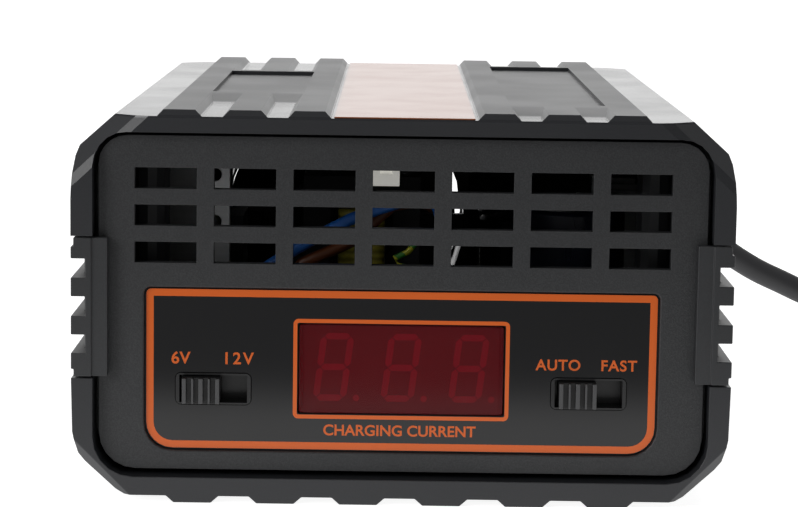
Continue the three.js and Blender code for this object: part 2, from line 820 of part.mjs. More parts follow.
// A folded aluminium plate: a flange across the front, a wall along the board and short outer fins.
function leftHeatSink() {
  const { wall, finPitch, finThickness, finTip, finLift } = HEAT_SINK;
  const { outer, flangeEnd, front, back, top, finsFrom } = LEFT_SINK;
  const flange = block([outer, front, SEAT], [flangeEnd, front + wall, top]);
  const side = block([outer, front, SEAT], [outer + wall, back, top]);
  const fins = Array.from({ length: LEFT_SINK.fins }, (_, index) => {
    const y = finsFrom + index * finPitch;
    return block([-finTip, y, SEAT + finLift], [outer + wall / 2, y + finThickness, top]);
  });
  const { x, heights, radius } = LEFT_SINK_HOLES;
  const holes = heights.map((z) => rodY(radius, front - 1, front + wall + 1, x, z, 12));
  return cut(join(flange, side, ...fins), ...holes);
}

function rightHeatSink() {
  const { wall, finPitch, finThickness, finTip, finLift } = HEAT_SINK;
  const { inner, front, back, top, finsFrom } = RIGHT_SINK;
  const side = block([inner, front, SEAT], [inner + wall, back, top]);
  const fins = Array.from({ length: RIGHT_SINK.fins }, (_, index) => {
    const y = finsFrom + index * finPitch;
    return block([inner + wall / 2, y, SEAT + finLift], [finTip, y + finThickness, top]);
  });
  return join(side, ...fins);
}

// A plastic power package standing against a heat sink, with its three legs in the board.
function powerPackage({ x, y }, side) {
  const { thickness, halfWidth, low, high, legPitch, legWidth, legDepth } = POWER_PACKAGE;
  const far = x + thickness * side;
  const body = block([Math.min(x, far), y - halfWidth, low], [Math.max(x, far), y + halfWidth, high]);
  const middle = (x + far) / 2;
  const legs = [-legPitch, 0, legPitch].map((offset) =>
    block(
      [middle - legWidth / 2, y + offset - legDepth / 2, SEAT],
      [middle + legWidth / 2, y + offset + legDepth / 2, low + 1],
    ),
  );
  return join(body, ...legs);
}

// A can capacitor with the rolled groove near its foot.
function canCapacitor({ x, y, radius, height }) {
  const top = SEAT + height;
  const profile = [
    [0, SEAT],
    [radius - 0.6, SEAT],
    [radius, SEAT + 0.8],
    [radius, SEAT + 2.6],
    [radius - 0.8, SEAT + 3.4],
    [radius, SEAT + 4.2],
    [radius, top - 0.8],
    [radius - 0.8, top],
    [0, top],
  ];
  return turnedZ(profile, x, y, 14);
}

function outputChoke() {
  const { x, y, radius, tube } = CHOKE;
  const middle = SEAT + tube;
  const profile = Array.from({ length: 9 }, (_, step) => {
    const angle = (2 * Math.PI * step) / 8 - Math.PI / 2;
    return [radius + tube * Math.cos(angle), middle + tube * Math.sin(angle)];
  });
  return turnedZ(profile, x, y, 18);
}

function relay() {
  const { left, right, front, back, height } = RELAY;
  return block([left, front, SEAT], [right, back, SEAT + height]);
}

// A glass fuse with end caps on two pigtail legs.
function mainsFuse() {
  const { x, z, front, back, radius, capRadius, capLength } = FUSE;
  const tube = rodY(radius, front, back, x, z, 20);
  const caps = [front, back - capLength].map((from) => rodY(capRadius, from, from + capLength, x, z, 20));
  const legs = [front + capLength / 2, back - capLength / 2].map((y) =>
    block([x - 0.5, y - 0.5, SEAT], [x + 0.5, y + 0.5, z]),
  );
  return join(tube, ...caps, ...legs);
}

// The white inline connector in the fan's lead, over the transformer.
function wireConnector() {
  const { left, right, front, back, low, high, notch, notchDepth } = CONNECTOR;
  const body = block([left, front, low], [right, back, high]);
  const middle = (left + right) / 2;
  const catchRoom = block(
    [middle - notch / 2, front - 1, high - notchDepth],
    [middle + notch / 2, (front + back) / 2, high + 1],
  );
  return cut(body, catchRoom);
}

// ---------------------------------------------------------------- fan

const FAN_FRONT = REAR - PANEL.recess - PANEL.thickness - GAP - FAN.depth;

function fanFrame() {
  const back = FAN_FRONT + FAN.depth;
  const half = FAN.size / 2;
  const frame = alongY(roundedPlate(FAN.x, FAN.z, FAN.size, FAN.size, 4), FAN_FRONT, back);
  const bore = rodY(FAN.bore, FAN_FRONT - 1, back + 1, FAN.x, FAN.z, 32);
  const motorSeat = rodY(FAN.hub, FAN_FRONT, FAN_FRONT + 2, FAN.x, FAN.z, 20);
  const struts = [0, 90].map((degrees) => {
    const geometry = new THREE.BoxGeometry(2 * half - 2, 2, 3.5);
    geometry.rotateY(THREE.MathUtils.degToRad(degrees));
    geometry.translate(FAN.x, FAN_FRONT + 1, FAN.z);
    return solid(geometry);
  });
  const shaftHole = rodY(1.62, FAN_FRONT - 1, FAN_FRONT + 3, FAN.x, FAN.z, 24);
  const screwHoles = FAN_CORNERS.map(([x, z]) => rodY(FAN.screwHole, FAN_FRONT - 1, back + 1, x, z, 10));
  return cut(join(cut(frame, bore), motorSeat, ...struts), shaftHole, ...screwHoles);
}

function fanRotor() {
  const base = FAN_FRONT + 2.5;
  const hubDepth = 15.5;
  const hub = rodY(FAN.hub, base, base + hubDepth, FAN.x, FAN.z, 20);
  const shaft = rodY(1.5, FAN_FRONT + 0.3, base + 1, FAN.x, FAN.z, 24);
  const blades = Array.from({ length: BLADE.count }, (_, index) => {
    const geometry = new THREE.BoxGeometry(BLADE.length, BLADE.thickness, BLADE.chord);
    geometry.rotateX(THREE.MathUtils.degToRad(BLADE.pitch));
    geometry.translate(BLADE.radius, 0, 0);
    geometry.rotateY((2 * Math.PI * index) / BLADE.count);
    geometry.translate(FAN.x, base + hubDepth / 2, FAN.z);
    return solid(geometry);
  });
  return join(hub, shaft, ...blades);
}

// ---------------------------------------------------------------- screws

// A self-tapping screw with a slotted pan head at its lower end.
function risingScrew(x, y, headLow, { head, headRadius, shaftRadius, tip }) {
  const headHigh = headLow + head;
  const profile = [
    [0, headLow],
    [headRadius - 0.7, headLow],
    [headRadius, headLow + 0.8],
    [headRadius, headHigh],
    [shaftRadius, headHigh],
    [shaftRadius, tip - 1.5],
    [0.4, tip],
    [0, tip],
  ];
  const drive = block([x - 1.6, y - 0.4, headLow - 1], [x + 1.6, y + 0.4, headLow + 1.2]);
  return cut(turnedZ(profile, x, y, 12), drive);
}

// The same screw with its head at the upper end.
function sinkingScrew(x, y, headLow, { head, headRadius, shaftRadius, tip }) {
  const headHigh = headLow + head;
  const profile = [
    [0, tip],
    [0.4, tip],
    [shaftRadius, tip + 1.5],
    [shaftRadius, headLow],
    [headRadius, headLow],
    [headRadius, headHigh - 0.7],
    [headRadius - 0.6, headHigh],
    [0, headHigh],
  ];
  const drive = block([x - 1.5, y - 0.4, headHigh - 1], [x + 1.5, y + 0.4, headHigh + 1]);
  return cut(turnedZ(profile, x, y, 12), drive);
}

function fanScrew(x, z) {
  const face = REAR - PANEL.recess + GAP / 3;
  const profile = [
    [0, FAN_FRONT + 2],
    [0.4, FAN_FRONT + 2],
    [1.7, FAN_FRONT + 3.5],
    [1.7, face],
    [3.2, face],
    [3.2, face + 1.2],
    [2.4, face + 2.1],
    [0, face + 2.1],
  ];
  const drive = block([x - 1.6, face + 1, z - 0.4], [x + 1.6, REAR + 1, z + 0.4]);
  return cut(turnedY(profile, x, z, 12), drive);
}

// ---------------------------------------------------------------- cable exits and the mains lead

// The moulded bend relief: a grommet in the rear panel and a tapering sleeve around the lead.
function mainsStrainRelief() {
  const inner = REAR - PANEL.recess - PANEL.thickness - GAP;
  const outer = REAR - PANEL.recess + GAP;
  const bore = CABLE_RADIUS + GAP;
  const rings = [0, 1, 2, 3].flatMap((index) => {
    const y = outer + 5.5 + index * 5;
    const radius = 6.2 - index * 0.42;
    return [
      [radius, y],
      [radius - 1, y + 0.6],
      [radius - 1.1, y + 2],
      [radius - 0.2, y + 2.6],
    ];
  });
  const profile = [
    [bore, inner - 2.6],
    [8, inner - 2.6],
    [8, inner],
    [5.6, inner],
    [5.6, outer],
    [7.8, outer],
    [7.8, outer + 1.4],
    [6.6, outer + 2.1],
    ...rings,
    [4.6, REAR + MAINS_EXIT.length],
    [bore, REAR + MAINS_EXIT.length],
    [bore, inner - 2.6],
  ];
  return turnedY(profile, MAINS_EXIT.x, MAINS_EXIT.z, 12);
}

function outputGland() {
  const inner = REAR - PANEL.recess - PANEL.thickness - GAP;
  const outer = REAR - PANEL.recess + GAP;
  const profile = [
    [OUTPUT_EXIT.bore, inner - 2.6],
    [7.4, inner - 2.6],
    [7.4, inner],
    [5.1, inner],
    [5.1, outer],
    [7.4, outer],
    [7.4, outer + 1],
    [6.4, outer + 2],
    [OUTPUT_EXIT.bore, outer + 2],
    [OUTPUT_EXIT.bore, inner - 2.6],
  ];
  return turnedY(profile, OUTPUT_EXIT.x, OUTPUT_EXIT.z, 16);
}

function mainsCable() {
  return wire(CABLE_ROUTE, CABLE_RADIUS, 24);
}

function mainsCableTail() {
  return wire(TAIL_ROUTE, CABLE_RADIUS, 5);
}

function cableCoil() {
  const { inner, outer, low, high } = COIL;
  const round = 1.5;
  const profile = [
    [inner, low + round],
    [inner + round, low],
    [outer - round, low],
    [outer, low + round],
    [outer, high - round],
    [outer - round, high],
    [inner + round, high],
    [inner, high - round],
    [inner, low + round],
  ];
  return turnedZ(profile, COIL.x, COIL.y, 28);
}

// A strap around the bundle of turns, standing square to it.
function coilTie() {
  const { halfWidth, strap } = TIE;
  const near = COIL.y - COIL.outer - 1;
  const far = COIL.y - COIL.inner + 1;
  const top = COIL.high + 1;
  const outside = block([COIL.x - halfWidth, near - strap, 0], [COIL.x + halfWidth, far + strap, top]);
  const inside = block([COIL.x - halfWidth - 1, near, strap], [COIL.x + halfWidth + 1, far, top - strap]);
  return cut(outside, inside);
}

function plugBody() {
  const tail = PLUG.tail - GAP;
  const face = PLUG.tail - PLUG.length;
  const profile = [
    [0, face],
    [PLUG.radius - 1.2, face],
    [PLUG.radius, face + 1.2],
    [PLUG.radius, face + 17],
    [PLUG.radius - 2, face + 20],
    [10.5, face + 27],
    [8.6, face + 33],
    [7.6, tail - 2],
    [6, tail],
    [0, tail],
  ];
  return turnedY(profile, PLUG.x, PLUG.z, 20);
}

function plugPin(side) {
  const face = PLUG.tail - PLUG.length - GAP;
  const profile = [
    [0, face - PLUG.pinLength],
    [PLUG.pinRadius - 1, face - PLUG.pinLength],
    [PLUG.pinRadius, face - PLUG.pinLength + 1.6],
    [PLUG.pinRadius, face],
    [0, face],
  ];
  return turnedY(profile, PLUG.x + (side * PLUG.pinGap) / 2, PLUG.z, 12);
}

// ---------------------------------------------------------------- assembly

const FINISHES = {
  shell: [0x38383a, 0.55, 0],
  grip: [0x303032, 0.6, 0],
  panel: [0x2e2e30, 0.6, 0],
  film: [0x18181a, 0.15, 0],
  window: [0x8c1420, 0.1, 0],
  black: [0x141415, 0.5, 0],
  white: [0xe8e6df, 0.4, 0],
  label: [0xd2682a, 0.3, 0],
  board: [0x1f5a34, 0.5, 0],
  ferrite: [0x2a2a2c, 0.7, 0],
  tape: [0xd8c23a, 0.4, 0],
  aluminium: [0xb9bbbd, 0.4, 1],
  steel: [0x9a9ca0, 0.35, 1],
  nickel: [0xc4c2bb, 0.25, 1],
  copper: [0xa8632c, 0.35, 1],
  sleeve: [0x202a3c, 0.4, 0],
  glass: [0xd8dcd6, 0.1, 0],
  blue: [0x1f5fb0, 0.4, 0],
  brown: [0x6a3c20, 0.4, 0],
  earth: [0x9ab02c, 0.4, 0],
  cable: [0x343434, 0.6, 0],
};

const charger = new THREE.Group();

function place(name, finish, body, mirrored = false) {
  const [color, roughness, metalness] = FINISHES[finish];
  const material = new THREE.MeshStandardMaterial({ color, roughness, metalness });
  const mesh = new THREE.Mesh(geometryOf(body), material);
  mesh.name = name;
  if (mirrored) mesh.scale.x = -1;
  charger.add(mesh);
}

place("top_shell", "shell", topShell());
place("bottom_shell", "shell", bottomShell());
place("side_grip_right", "grip", sideGrip());
place("side_grip_left", "grip", sideGrip(), true);
place("front_panel", "panel", frontPanel());
place("rear_panel", "panel", rearPanel());
place("control_overlay", "film", controlOverlay());
place("top_label", "label", topLabel());

place("display_window", "window", displayWindow());
place("display_module", "black", displayModule());
place("display_board", "board", displayBoard());
place("voltage_switch_body", "black", switchBody(-SWITCH.x));
place("voltage_switch_knob", "black", switchKnob(-SWITCH.x));
place("mode_switch_body", "black", switchBody(SWITCH.x));
place("mode_switch_knob", "black", switchKnob(SWITCH.x));

place("main_board", "board", mainBoard());
place("transformer_core", "ferrite", transformerCore());
place("transformer_winding", "tape", transformerWinding());
place("heat_sink_left", "aluminium", leftHeatSink());
place("heat_sink_right", "aluminium", rightHeatSink());
place("power_transistor", "black", powerPackage(TRANSISTOR, 1));
place("output_rectifier", "black", powerPackage(RECTIFIER, -1));
place("bulk_capacitor", "sleeve", canCapacitor(BULK_CAPACITOR));
OUTPUT_CAPACITORS.forEach((can, index) => {
  place(`output_capacitor_${index + 1}`, "sleeve", canCapacitor(can));
});
place("output_choke", "copper", outputChoke());
place("relay", "black", relay());
place("mains_fuse", "glass", mainsFuse());
place("wire_connector", "white", wireConnector());

place("neutral_wire", "blue", wire(NEUTRAL_ROUTE, WIRE_RADIUS, 40));
place("live_wire", "brown", wire(LIVE_ROUTE, WIRE_RADIUS, 40));
place("earth_wire", "earth", wire(EARTH_ROUTE, EARTH_RADIUS, 72));

place("fan_frame", "black", fanFrame());
place("fan_rotor", "black", fanRotor());

FAN_CORNERS.forEach(([x, z], index) => {
  place(`fan_screw_${index + 1}`, "steel", fanScrew(x, z));
});
CASE_CORNERS.forEach(([x, y], index) => {
  const headLow = CASE_BOSS.headSeat - GAP / 3 - CASE_SCREW.head;
  place(`case_screw_${index + 1}`, "steel", risingScrew(x, y, headLow, CASE_SCREW));
});
BOARD_CORNERS.forEach(([x, y], index) => {
  place(`board_screw_${index + 1}`, "steel", sinkingScrew(x, y, BOARD_TOP + GAP / 3, BOARD_SCREW));
});

place("mains_strain_relief", "cable", mainsStrainRelief());
place("output_gland", "cable", outputGland());
place("mains_cable", "cable", mainsCable());
place("mains_cable_coil", "cable", cableCoil());
place("mains_cable_tail", "cable", mainsCableTail());
place("coil_tie", "black", coilTie());
place("mains_plug_body", "cable", plugBody());
place("plug_pin_left", "nickel", plugPin(-1));
place("plug_pin_right", "nickel", plugPin(1));

export default charger;
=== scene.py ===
"""The looks of a mains car battery charger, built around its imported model."""

import json
import math

import bmesh
import bpy
from bpy.props import FloatProperty, FloatVectorProperty, IntProperty, PointerProperty
from bpy.types import Operator, Panel, PropertyGroup
from mathutils import Matrix, Vector


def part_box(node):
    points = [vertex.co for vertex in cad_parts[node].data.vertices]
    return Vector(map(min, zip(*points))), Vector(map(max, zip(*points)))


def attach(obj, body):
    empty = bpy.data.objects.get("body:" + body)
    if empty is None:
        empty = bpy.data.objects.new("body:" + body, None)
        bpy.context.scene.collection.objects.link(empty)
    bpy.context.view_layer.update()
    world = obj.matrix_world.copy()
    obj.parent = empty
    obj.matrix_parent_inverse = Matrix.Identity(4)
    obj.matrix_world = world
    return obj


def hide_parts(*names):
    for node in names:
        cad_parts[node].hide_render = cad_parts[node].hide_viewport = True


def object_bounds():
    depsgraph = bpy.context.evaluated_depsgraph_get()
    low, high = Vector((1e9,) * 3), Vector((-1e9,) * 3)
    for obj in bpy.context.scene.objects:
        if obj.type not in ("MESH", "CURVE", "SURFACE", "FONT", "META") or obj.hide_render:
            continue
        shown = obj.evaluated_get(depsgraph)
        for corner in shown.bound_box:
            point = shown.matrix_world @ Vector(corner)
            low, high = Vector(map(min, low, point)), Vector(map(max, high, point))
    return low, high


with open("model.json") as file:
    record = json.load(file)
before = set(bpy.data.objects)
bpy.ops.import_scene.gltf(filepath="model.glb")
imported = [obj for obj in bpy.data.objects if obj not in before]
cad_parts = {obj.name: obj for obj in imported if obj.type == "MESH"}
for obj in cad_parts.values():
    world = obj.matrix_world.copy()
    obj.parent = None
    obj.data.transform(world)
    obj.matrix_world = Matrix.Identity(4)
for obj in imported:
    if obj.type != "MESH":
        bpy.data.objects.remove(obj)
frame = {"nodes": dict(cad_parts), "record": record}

bl_info = {
    "name": "Car Battery Charger",
    "version": (1, 0, 0),
    "blender": (4, 5, 0),
    "location": "View3D > Sidebar > Charger",
    "description": "Builds the finished surfaces of a mains car battery charger",
    "category": "Add Mesh",
}

CAD_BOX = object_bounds()
MM = 0.001
UP = Vector((0, 0, 1))
BACK = Vector((0, 1, 0))


def srgb(code):
    """A hex colour as the linear numbers that a shader takes."""
    parts = [int(code[i : i + 2], 16) / 255 for i in (0, 2, 4)]
    return [p / 12.92 if p <= 0.04045 else ((p + 0.055) / 1.055) ** 2.4 for p in parts]


# ------------------------------------------------------------------ settings


def colour_setting(name, description, code):
    """A colour that a user may change, from its hex code."""
    return FloatVectorProperty(
        name=name, description=description, subtype="COLOR", size=3, min=0, max=1, default=srgb(code)
    )


def length_setting(name, description, millimetres):
    """A length that a user may change, from its default in millimetres."""
    default = millimetres * MM
    return FloatProperty(name=name, description=description, unit="LENGTH", min=0, default=default)


def light_setting(name, description, value):
    """A brightness or power that a user may change."""
    return FloatProperty(name=name, description=description, min=0, default=value)


class ChargerColours(PropertyGroup):
    """The colours of the case, its print and its lead."""

    shell: colour_setting("Shells", "Charcoal plastic of both half shells", "222326")
    grip: colour_setting("Grips", "Plastic of the side rails", "27282a")
    panel: colour_setting("Panels", "Grained plastic of the front and rear panels", "202123")
    film: colour_setting("Film", "Glossy film around the display", "09090b")
    print: colour_setting("Print", "Orange border and legends", "cd5a12")
    label: colour_setting("Label", "Glossy strip along the top", "96552f")
    window: colour_setting("Window", "Red filter in front of the digits", "5e0a12")
    digits: colour_setting("Digits", "Unlit segments behind the filter", "f42646")
    lead: colour_setting("Lead", "Sheath of the mains lead and its fittings", "333335")


class ChargerSizes(PropertyGroup):
    """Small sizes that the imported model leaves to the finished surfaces."""

    edge: length_setting("Edge", "Rounding of the shells' moulded edges", 0.45)
    fine_edge: length_setting("Fine edge", "Rounding of the small parts' edges", 0.18)
    pocket_edge: length_setting("Pocket edge", "Rounding of the panel around the film", 0.75)
    print_height: length_setting("Print height", "Thickness of printed lines", 0.03)
    border_line: length_setting("Border line", "Width of the orange border", 1.38)
    frame_line: length_setting("Frame line", "Width of the line around the display", 1.1)
    digit_height: length_setting("Digit height", "Height of a display digit", 13.2)
    digit_width: length_setting("Digit width", "Width of a display digit", 6.4)
    digit_pitch: length_setting("Digit pitch", "Distance between display digits", 12.95)
    segment: length_setting("Segment", "Width of a digit's segment", 1.25)


class ChargerLead(PropertyGroup):
    """The mains lead and its coil."""

    length: length_setting("Length", "Whole length of the mains lead", 1500)
    diameter: length_setting("Diameter", "Outside diameter of the mains lead", 6.5)
    turn_points: IntProperty(
        name="Points", description="Curve points on a turn of the coil", default=24, min=12
    )
    spiral_turns: FloatProperty(
        name="Turns", description="Turns in each layer of the coil", default=2.5, min=1
    )


class ChargerStage(PropertyGroup):
    """The camera and the studio light."""

    lens: FloatProperty(name="Lens", description="Focal length in millimetres", default=117.17, min=10)
    key: light_setting("Key", "Power of the light at the left front, in watts", 7.5)
    overhead: light_setting("Overhead", "Power of the light above, in watts", 3.0)
    backdrop: light_setting("Backdrop", "Brightness of the bright wall behind", 1.35)
    room: light_setting("Room", "Brightness of the room on the other sides", 0.24)
    floor_glow: light_setting("Floor glow", "Light given off by the floor around the charger", 0.9)


# ------------------------------------------------------------------ shader maths


class Link:
    """An output socket, on which Python's operators make Math nodes."""

    def __init__(self, nodes, socket):
        self.nodes = nodes
        self.socket = socket

    def math(self, operation, *values):
        return self.nodes.node("Math", {"operation": operation}, *values)

    def __add__(self, other):
        return self.math("ADD", self, other)

    __radd__ = __add__

    def __sub__(self, other):
        return self.math("SUBTRACT", self, other)

    def __rsub__(self, other):
        return self.math("SUBTRACT", other, self)

    def __mul__(self, other):
        return self.math("MULTIPLY", self, other)

    __rmul__ = __mul__

    def above(self, level):
        """1 where this value is more than a level, and 0 elsewhere."""
        return self.math("GREATER_THAN", self, level)

    def spread(self, low, high):
        """This value eased from 0 at a low level to 1 at a high one."""
        settings = {"clamp": True, "interpolation_type": "SMOOTHSTEP"}
        return self.nodes.node("MapRange", settings, self, low, high, 0.0, 1.0)


class Nodes:
    """A node tree, with one method for every kind of node."""

    def __init__(self, tree):
        self.tree = tree

    def fill(self, socket, value):
        """Sets an input socket to a value or links it; None leaves it alone."""
        if isinstance(value, Link):
            self.tree.links.new(value.socket, socket)
        elif value is not None:
            socket.default_value = value

    def node(self, kind, settings=None, *values, output=0, **named):
        """One node: its type, then its settings, then the values or links of its sockets."""
        made = self.tree.nodes.new("ShaderNode" + kind)
        for setting, value in (settings or {}).items():
            setattr(made, setting, value)
        for socket, value in zip(made.inputs, values):
            self.fill(socket, value)
        for key, value in named.items():
            self.fill(made.inputs[key], value)
        return Link(self, made.outputs[output])

    def mix(self, factor, first, second):
        """A colour between two colours."""
        sides = [value if isinstance(value, Link) else (*value, 1) for value in (first, second)]
        sockets_before_colours = [None] * 5
        return self.node("Mix", {"data_type": "RGBA"}, factor, *sockets_before_colours, *sides, output=2)

    def along(self, axis, vector):
        """One part, X, Y or Z, of a vector."""
        return self.node("SeparateXYZ", None, vector, output=axis)


class Finish(Nodes):
    """A material: a Principled shader and the wrapped nodes that feed it."""

    def __init__(self, name, colour, roughness, metallic=0.0, **constants):
        self.material = bpy.data.materials.new(name)
        self.material.use_nodes = True
        super().__init__(self.material.node_tree)
        self.shader = self.tree.nodes["Principled BSDF"]
        self.colour = tuple(colour)
        self.set("Base Color", (*colour, 1))
        self.set("Roughness", roughness)
        self.set("Metallic", metallic)
        for socket, value in constants.items():
            self.set(socket, value)

    def set(self, socket, value):
        """Puts a constant on a shader socket, or links a value to it."""
        self.fill(self.shader.inputs[socket], value)

    def place(self, stretch=(1, 1, 1), turn=(0, 0, 0)):
        """Object coordinates, in metres, with each axis stretched."""
        coordinates = self.node("TexCoord", output="Object")
        return self.node("Mapping", None, coordinates, None, turn, stretch)

    def noise(self, scale, detail=2.0, where=None):
        """Soft noise from 0 to 1, with a scale in cells per metre."""
        return self.node("TexNoise", None, where or self.place(), Scale=scale, Detail=detail)

    def shades(self, factor, spread):
        """The base colour, lighter and darker by a share that follows a value."""
        dark = [c * (1 - spread) for c in self.colour]
        light = [c * (1 + spread) for c in self.colour]
        self.set("Base Color", self.mix(factor, dark, light))

    def bump(self, height, depth, strength=1.0):
        """A height value, 0 to 1, as relief of a depth in metres."""
        self.set("Normal", self.node("Bump", None, Height=height, Distance=depth, Strength=strength))


# ------------------------------------------------------------------ materials

# Cells per metre of the moulded grain and of the slow change in a surface's sheen.
GRAIN = 3400
SHEEN = 45
GRAIN_DEPTH = 0.012 * MM
FLOOR_SHADE = (0.42, 0.42, 0.42)
# The distances in front of the case between which the floor's own light fades out.
FADE_START = 0.07
FADE_END = 0.13


def moulded_plastic(name, colour, roughness, grain=GRAIN, depth=GRAIN_DEPTH, fleck=0.0):
    """Injection-moulded plastic: a fine etched grain and a slightly uneven sheen."""
    finish = Finish(name, colour, roughness)
    cloud = finish.noise(SHEEN)
    finish.set("Roughness", cloud.spread(0.3, 0.7) * 0.08 + (roughness - 0.04))
    tone = finish.noise(grain)
    dark = [c * 0.9 for c in colour]
    light = [c * 1.1 + fleck for c in colour]
    finish.set("Base Color", finish.mix(tone.spread(0.35, 0.7), dark, light))
    finish.bump(tone, depth)
    return finish.material


def shell_plastic(name, colour):
    """Charcoal plastic, polished smoother on the low flats between the top's raised ribs."""
    finish = Finish(name, colour, 0.4)
    where = finish.place()
    flat_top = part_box("top_label")[0].z
    height = finish.along("Z", where)
    low_flat = height.spread(flat_top - 0.5 * MM, flat_top - 0.3 * MM)
    low_flat = low_flat * (1 - height.spread(flat_top + 0.1 * MM, flat_top + 0.3 * MM))
    cloud = finish.noise(SHEEN)
    finish.set("Roughness", cloud.spread(0.3, 0.7) * 0.04 + 0.38 - low_flat * 0.18)
    tone = finish.noise(GRAIN)
    finish.shades(tone.spread(0.35, 0.7), 0.1)
    finish.bump(tone, GRAIN_DEPTH)
    return finish.material


def glossy_film(name, colour, roughness=0.12):
    """A smooth printed film with faint wipe marks in its gloss."""
    finish = Finish(name, colour, roughness)
    wipe = finish.noise(60, 3.0, finish.place((1, 1, 0.25)))
    finish.set("Roughness", wipe.spread(0.35, 0.75) * 0.025 + roughness)
    finish.shades(wipe, 0.04)
    return finish.material


def red_filter(name, colour):
    """A tinted window: the digits behind it show through its colour."""
    finish = Finish(name, colour, 0.08, Alpha=0.5, IOR=1.33)
    smear = finish.noise(80)
    finish.set("Roughness", smear * 0.06 + 0.05)
    finish.shades(smear, 0.06)
    return finish.material


def white_plastic_with_painted_glow(name, colour):
    """White nylon with a painted glow: it gives off light of its own colour, so that it looks bright
    even in a shaded place.
    """
    # Painted glow: the white parts give off a little light of their own, though they are no lamp.
    glow = {"Emission Color": (*colour, 1), "Emission Strength": 0.35}
    finish = Finish(name, colour, 0.35, **glow)
    tone = finish.noise(300)
    finish.shades(tone, 0.04)
    finish.set("Roughness", tone * 0.1 + 0.3)
    finish.bump(tone, 0.02 * MM)
    return finish.material


def slider_plastic(name, colour, front):
    """Black plastic whose ridge fronts are rubbed grey by fingers, with painted shade that keeps
    everything behind the fronts black.
    """
    finish = Finish(name, colour, 0.4)
    where = finish.place()
    # Grey at the very front and black from 0.9 mm back: wear on the ridge fronts, and painted shade in
    # the grooves.
    rubbed_front_and_groove_shade = 1 - finish.along("Y", where).spread(front + 0.1 * MM, front + 0.9 * MM)
    speck = finish.noise(2600, 2.0, where)
    finish.set("Base Color", finish.mix(rubbed_front_and_groove_shade, colour, srgb("404041")))
    finish.set("Roughness", speck * 0.2 + 0.32)
    finish.bump(speck, 0.01 * MM)
    return finish.material


def circuit_board(name):
    """Green solder mask over copper tracks, with a fine glass weave."""
    finish = Finish(name, srgb("1d5a34"), 0.35)
    black, white = (0, 0, 0, 1), (1, 1, 1, 1)
    tracks = finish.node(
        "TexBrick", {"offset": 0.5}, finish.place(), black, black, white, 160.0, 0.045, output="Fac"
    )
    weave = finish.noise(900, 1.0)
    finish.set("Base Color", finish.mix(tracks, srgb("1a5230"), srgb("2f7a48")))
    finish.set("Roughness", weave * 0.2 + 0.28)
    finish.bump(tracks * 0.7 + weave * 0.3, 0.04 * MM)
    return finish.material


def sintered_ferrite(name):
    """Pressed and fired ferrite: dark, matte and grainy."""
    finish = Finish(name, srgb("2b2b2e"), 0.62)
    grains = finish.noise(1400, 4.0)
    finish.shades(grains, 0.35)
    finish.set("Roughness", grains * 0.3 + 0.45)
    finish.bump(grains, 0.05 * MM)
    return finish.material


def wound_tape(name):
    """Yellow tape in overlapping layers with wrinkled edges."""
    finish = Finish(name, srgb("c9b62e"), 0.28)
    bands = {"wave_type": "BANDS", "bands_direction": "Z"}
    waves = finish.node("TexWave", bands, finish.place(), 180.0, 2.5, 2.0, 2.0, output="Fac")
    creases = finish.noise(300)
    finish.set("Base Color", finish.mix(waves, srgb("b5a82c"), srgb("ece05a")))
    finish.set("Roughness", creases * 0.25 + 0.15)
    finish.bump(waves * 0.6 + creases * 0.4, 0.12 * MM)
    return finish.material


def brushed_metal(name, colour, roughness, along=(0.03, 0.03, 1), scratch=900):
    """Bare metal with fine parallel scratches."""
    finish = Finish(name, colour, roughness, 1.0)
    scratches = finish.noise(scratch, 2.0, finish.place(along))
    finish.shades(scratches, 0.12)
    finish.set("Roughness", scratches * 0.22 + (roughness - 0.1))
    finish.bump(scratches, 0.01 * MM)
    return finish.material


def copper_winding(name):
    """Enamelled copper wire wound round a ring."""
    finish = Finish(name, srgb("a5522a"), 0.3, 1.0)
    tone = finish.noise(250)
    finish.shades(tone, 0.25)
    finish.set("Roughness", tone * 0.2 + 0.2)
    return finish.material


def can_sleeve(name):
    """Shrunk sleeve of a can capacitor, faintly creased along its length."""
    finish = Finish(name, srgb("161b2b"), 0.3)
    creases = finish.noise(220, 2.0, finish.place((1, 1, 0.3)))
    finish.shades(creases, 0.3)
    finish.set("Roughness", creases * 0.25 + 0.18)
    finish.bump(creases, 0.05 * MM)
    return finish.material


def clear_glass(name):
    """The thin glass tube of the fuse, faintly smeared."""
    finish = Finish(name, (0.85, 0.9, 0.88), 0.05, Alpha=0.5)
    smear = finish.noise(200, 1.0)
    finish.shades(smear, 0.05)
    finish.set("Roughness", smear * 0.1 + 0.03)
    return finish.material


def soft_insulation(name, colour, stripe=None):
    """Insulation of a thin wire; an earth wire carries a second colour in a stripe."""
    finish = Finish(name, colour, 0.38)
    tone = finish.noise(500)
    finish.shades(tone, 0.12)
    if stripe:
        bands = {"wave_type": "BANDS", "bands_direction": "DIAGONAL"}
        band = finish.node("TexWave", bands, finish.place(), 130.0, output="Fac")
        finish.set("Base Color", finish.mix(band.above(0.55), colour, stripe))
    finish.set("Roughness", tone * 0.15 + 0.3)
    finish.bump(tone, 0.01 * MM)
    return finish.material


def rubber_sheath(name, colour):
    """Matte extruded sheath with a fine drag texture and a little dust."""
    finish = Finish(name, colour, 0.6)
    dust = finish.noise(90, 3.0)
    finish.shades(dust, 0.15)
    finish.set("Roughness", dust * 0.16 + 0.5)
    finish.bump(finish.noise(1600, 3.0), 0.025 * MM)
    return finish.material


def woven_strap(name):
    """A strap of small woven loops."""
    finish = Finish(name, srgb("1b1b1d"), 0.75)
    loops = finish.node("TexVoronoi", None, finish.place(), Scale=1500.0)
    finish.shades(loops, 0.4)
    finish.bump(loops, 0.15 * MM)
    return finish.material


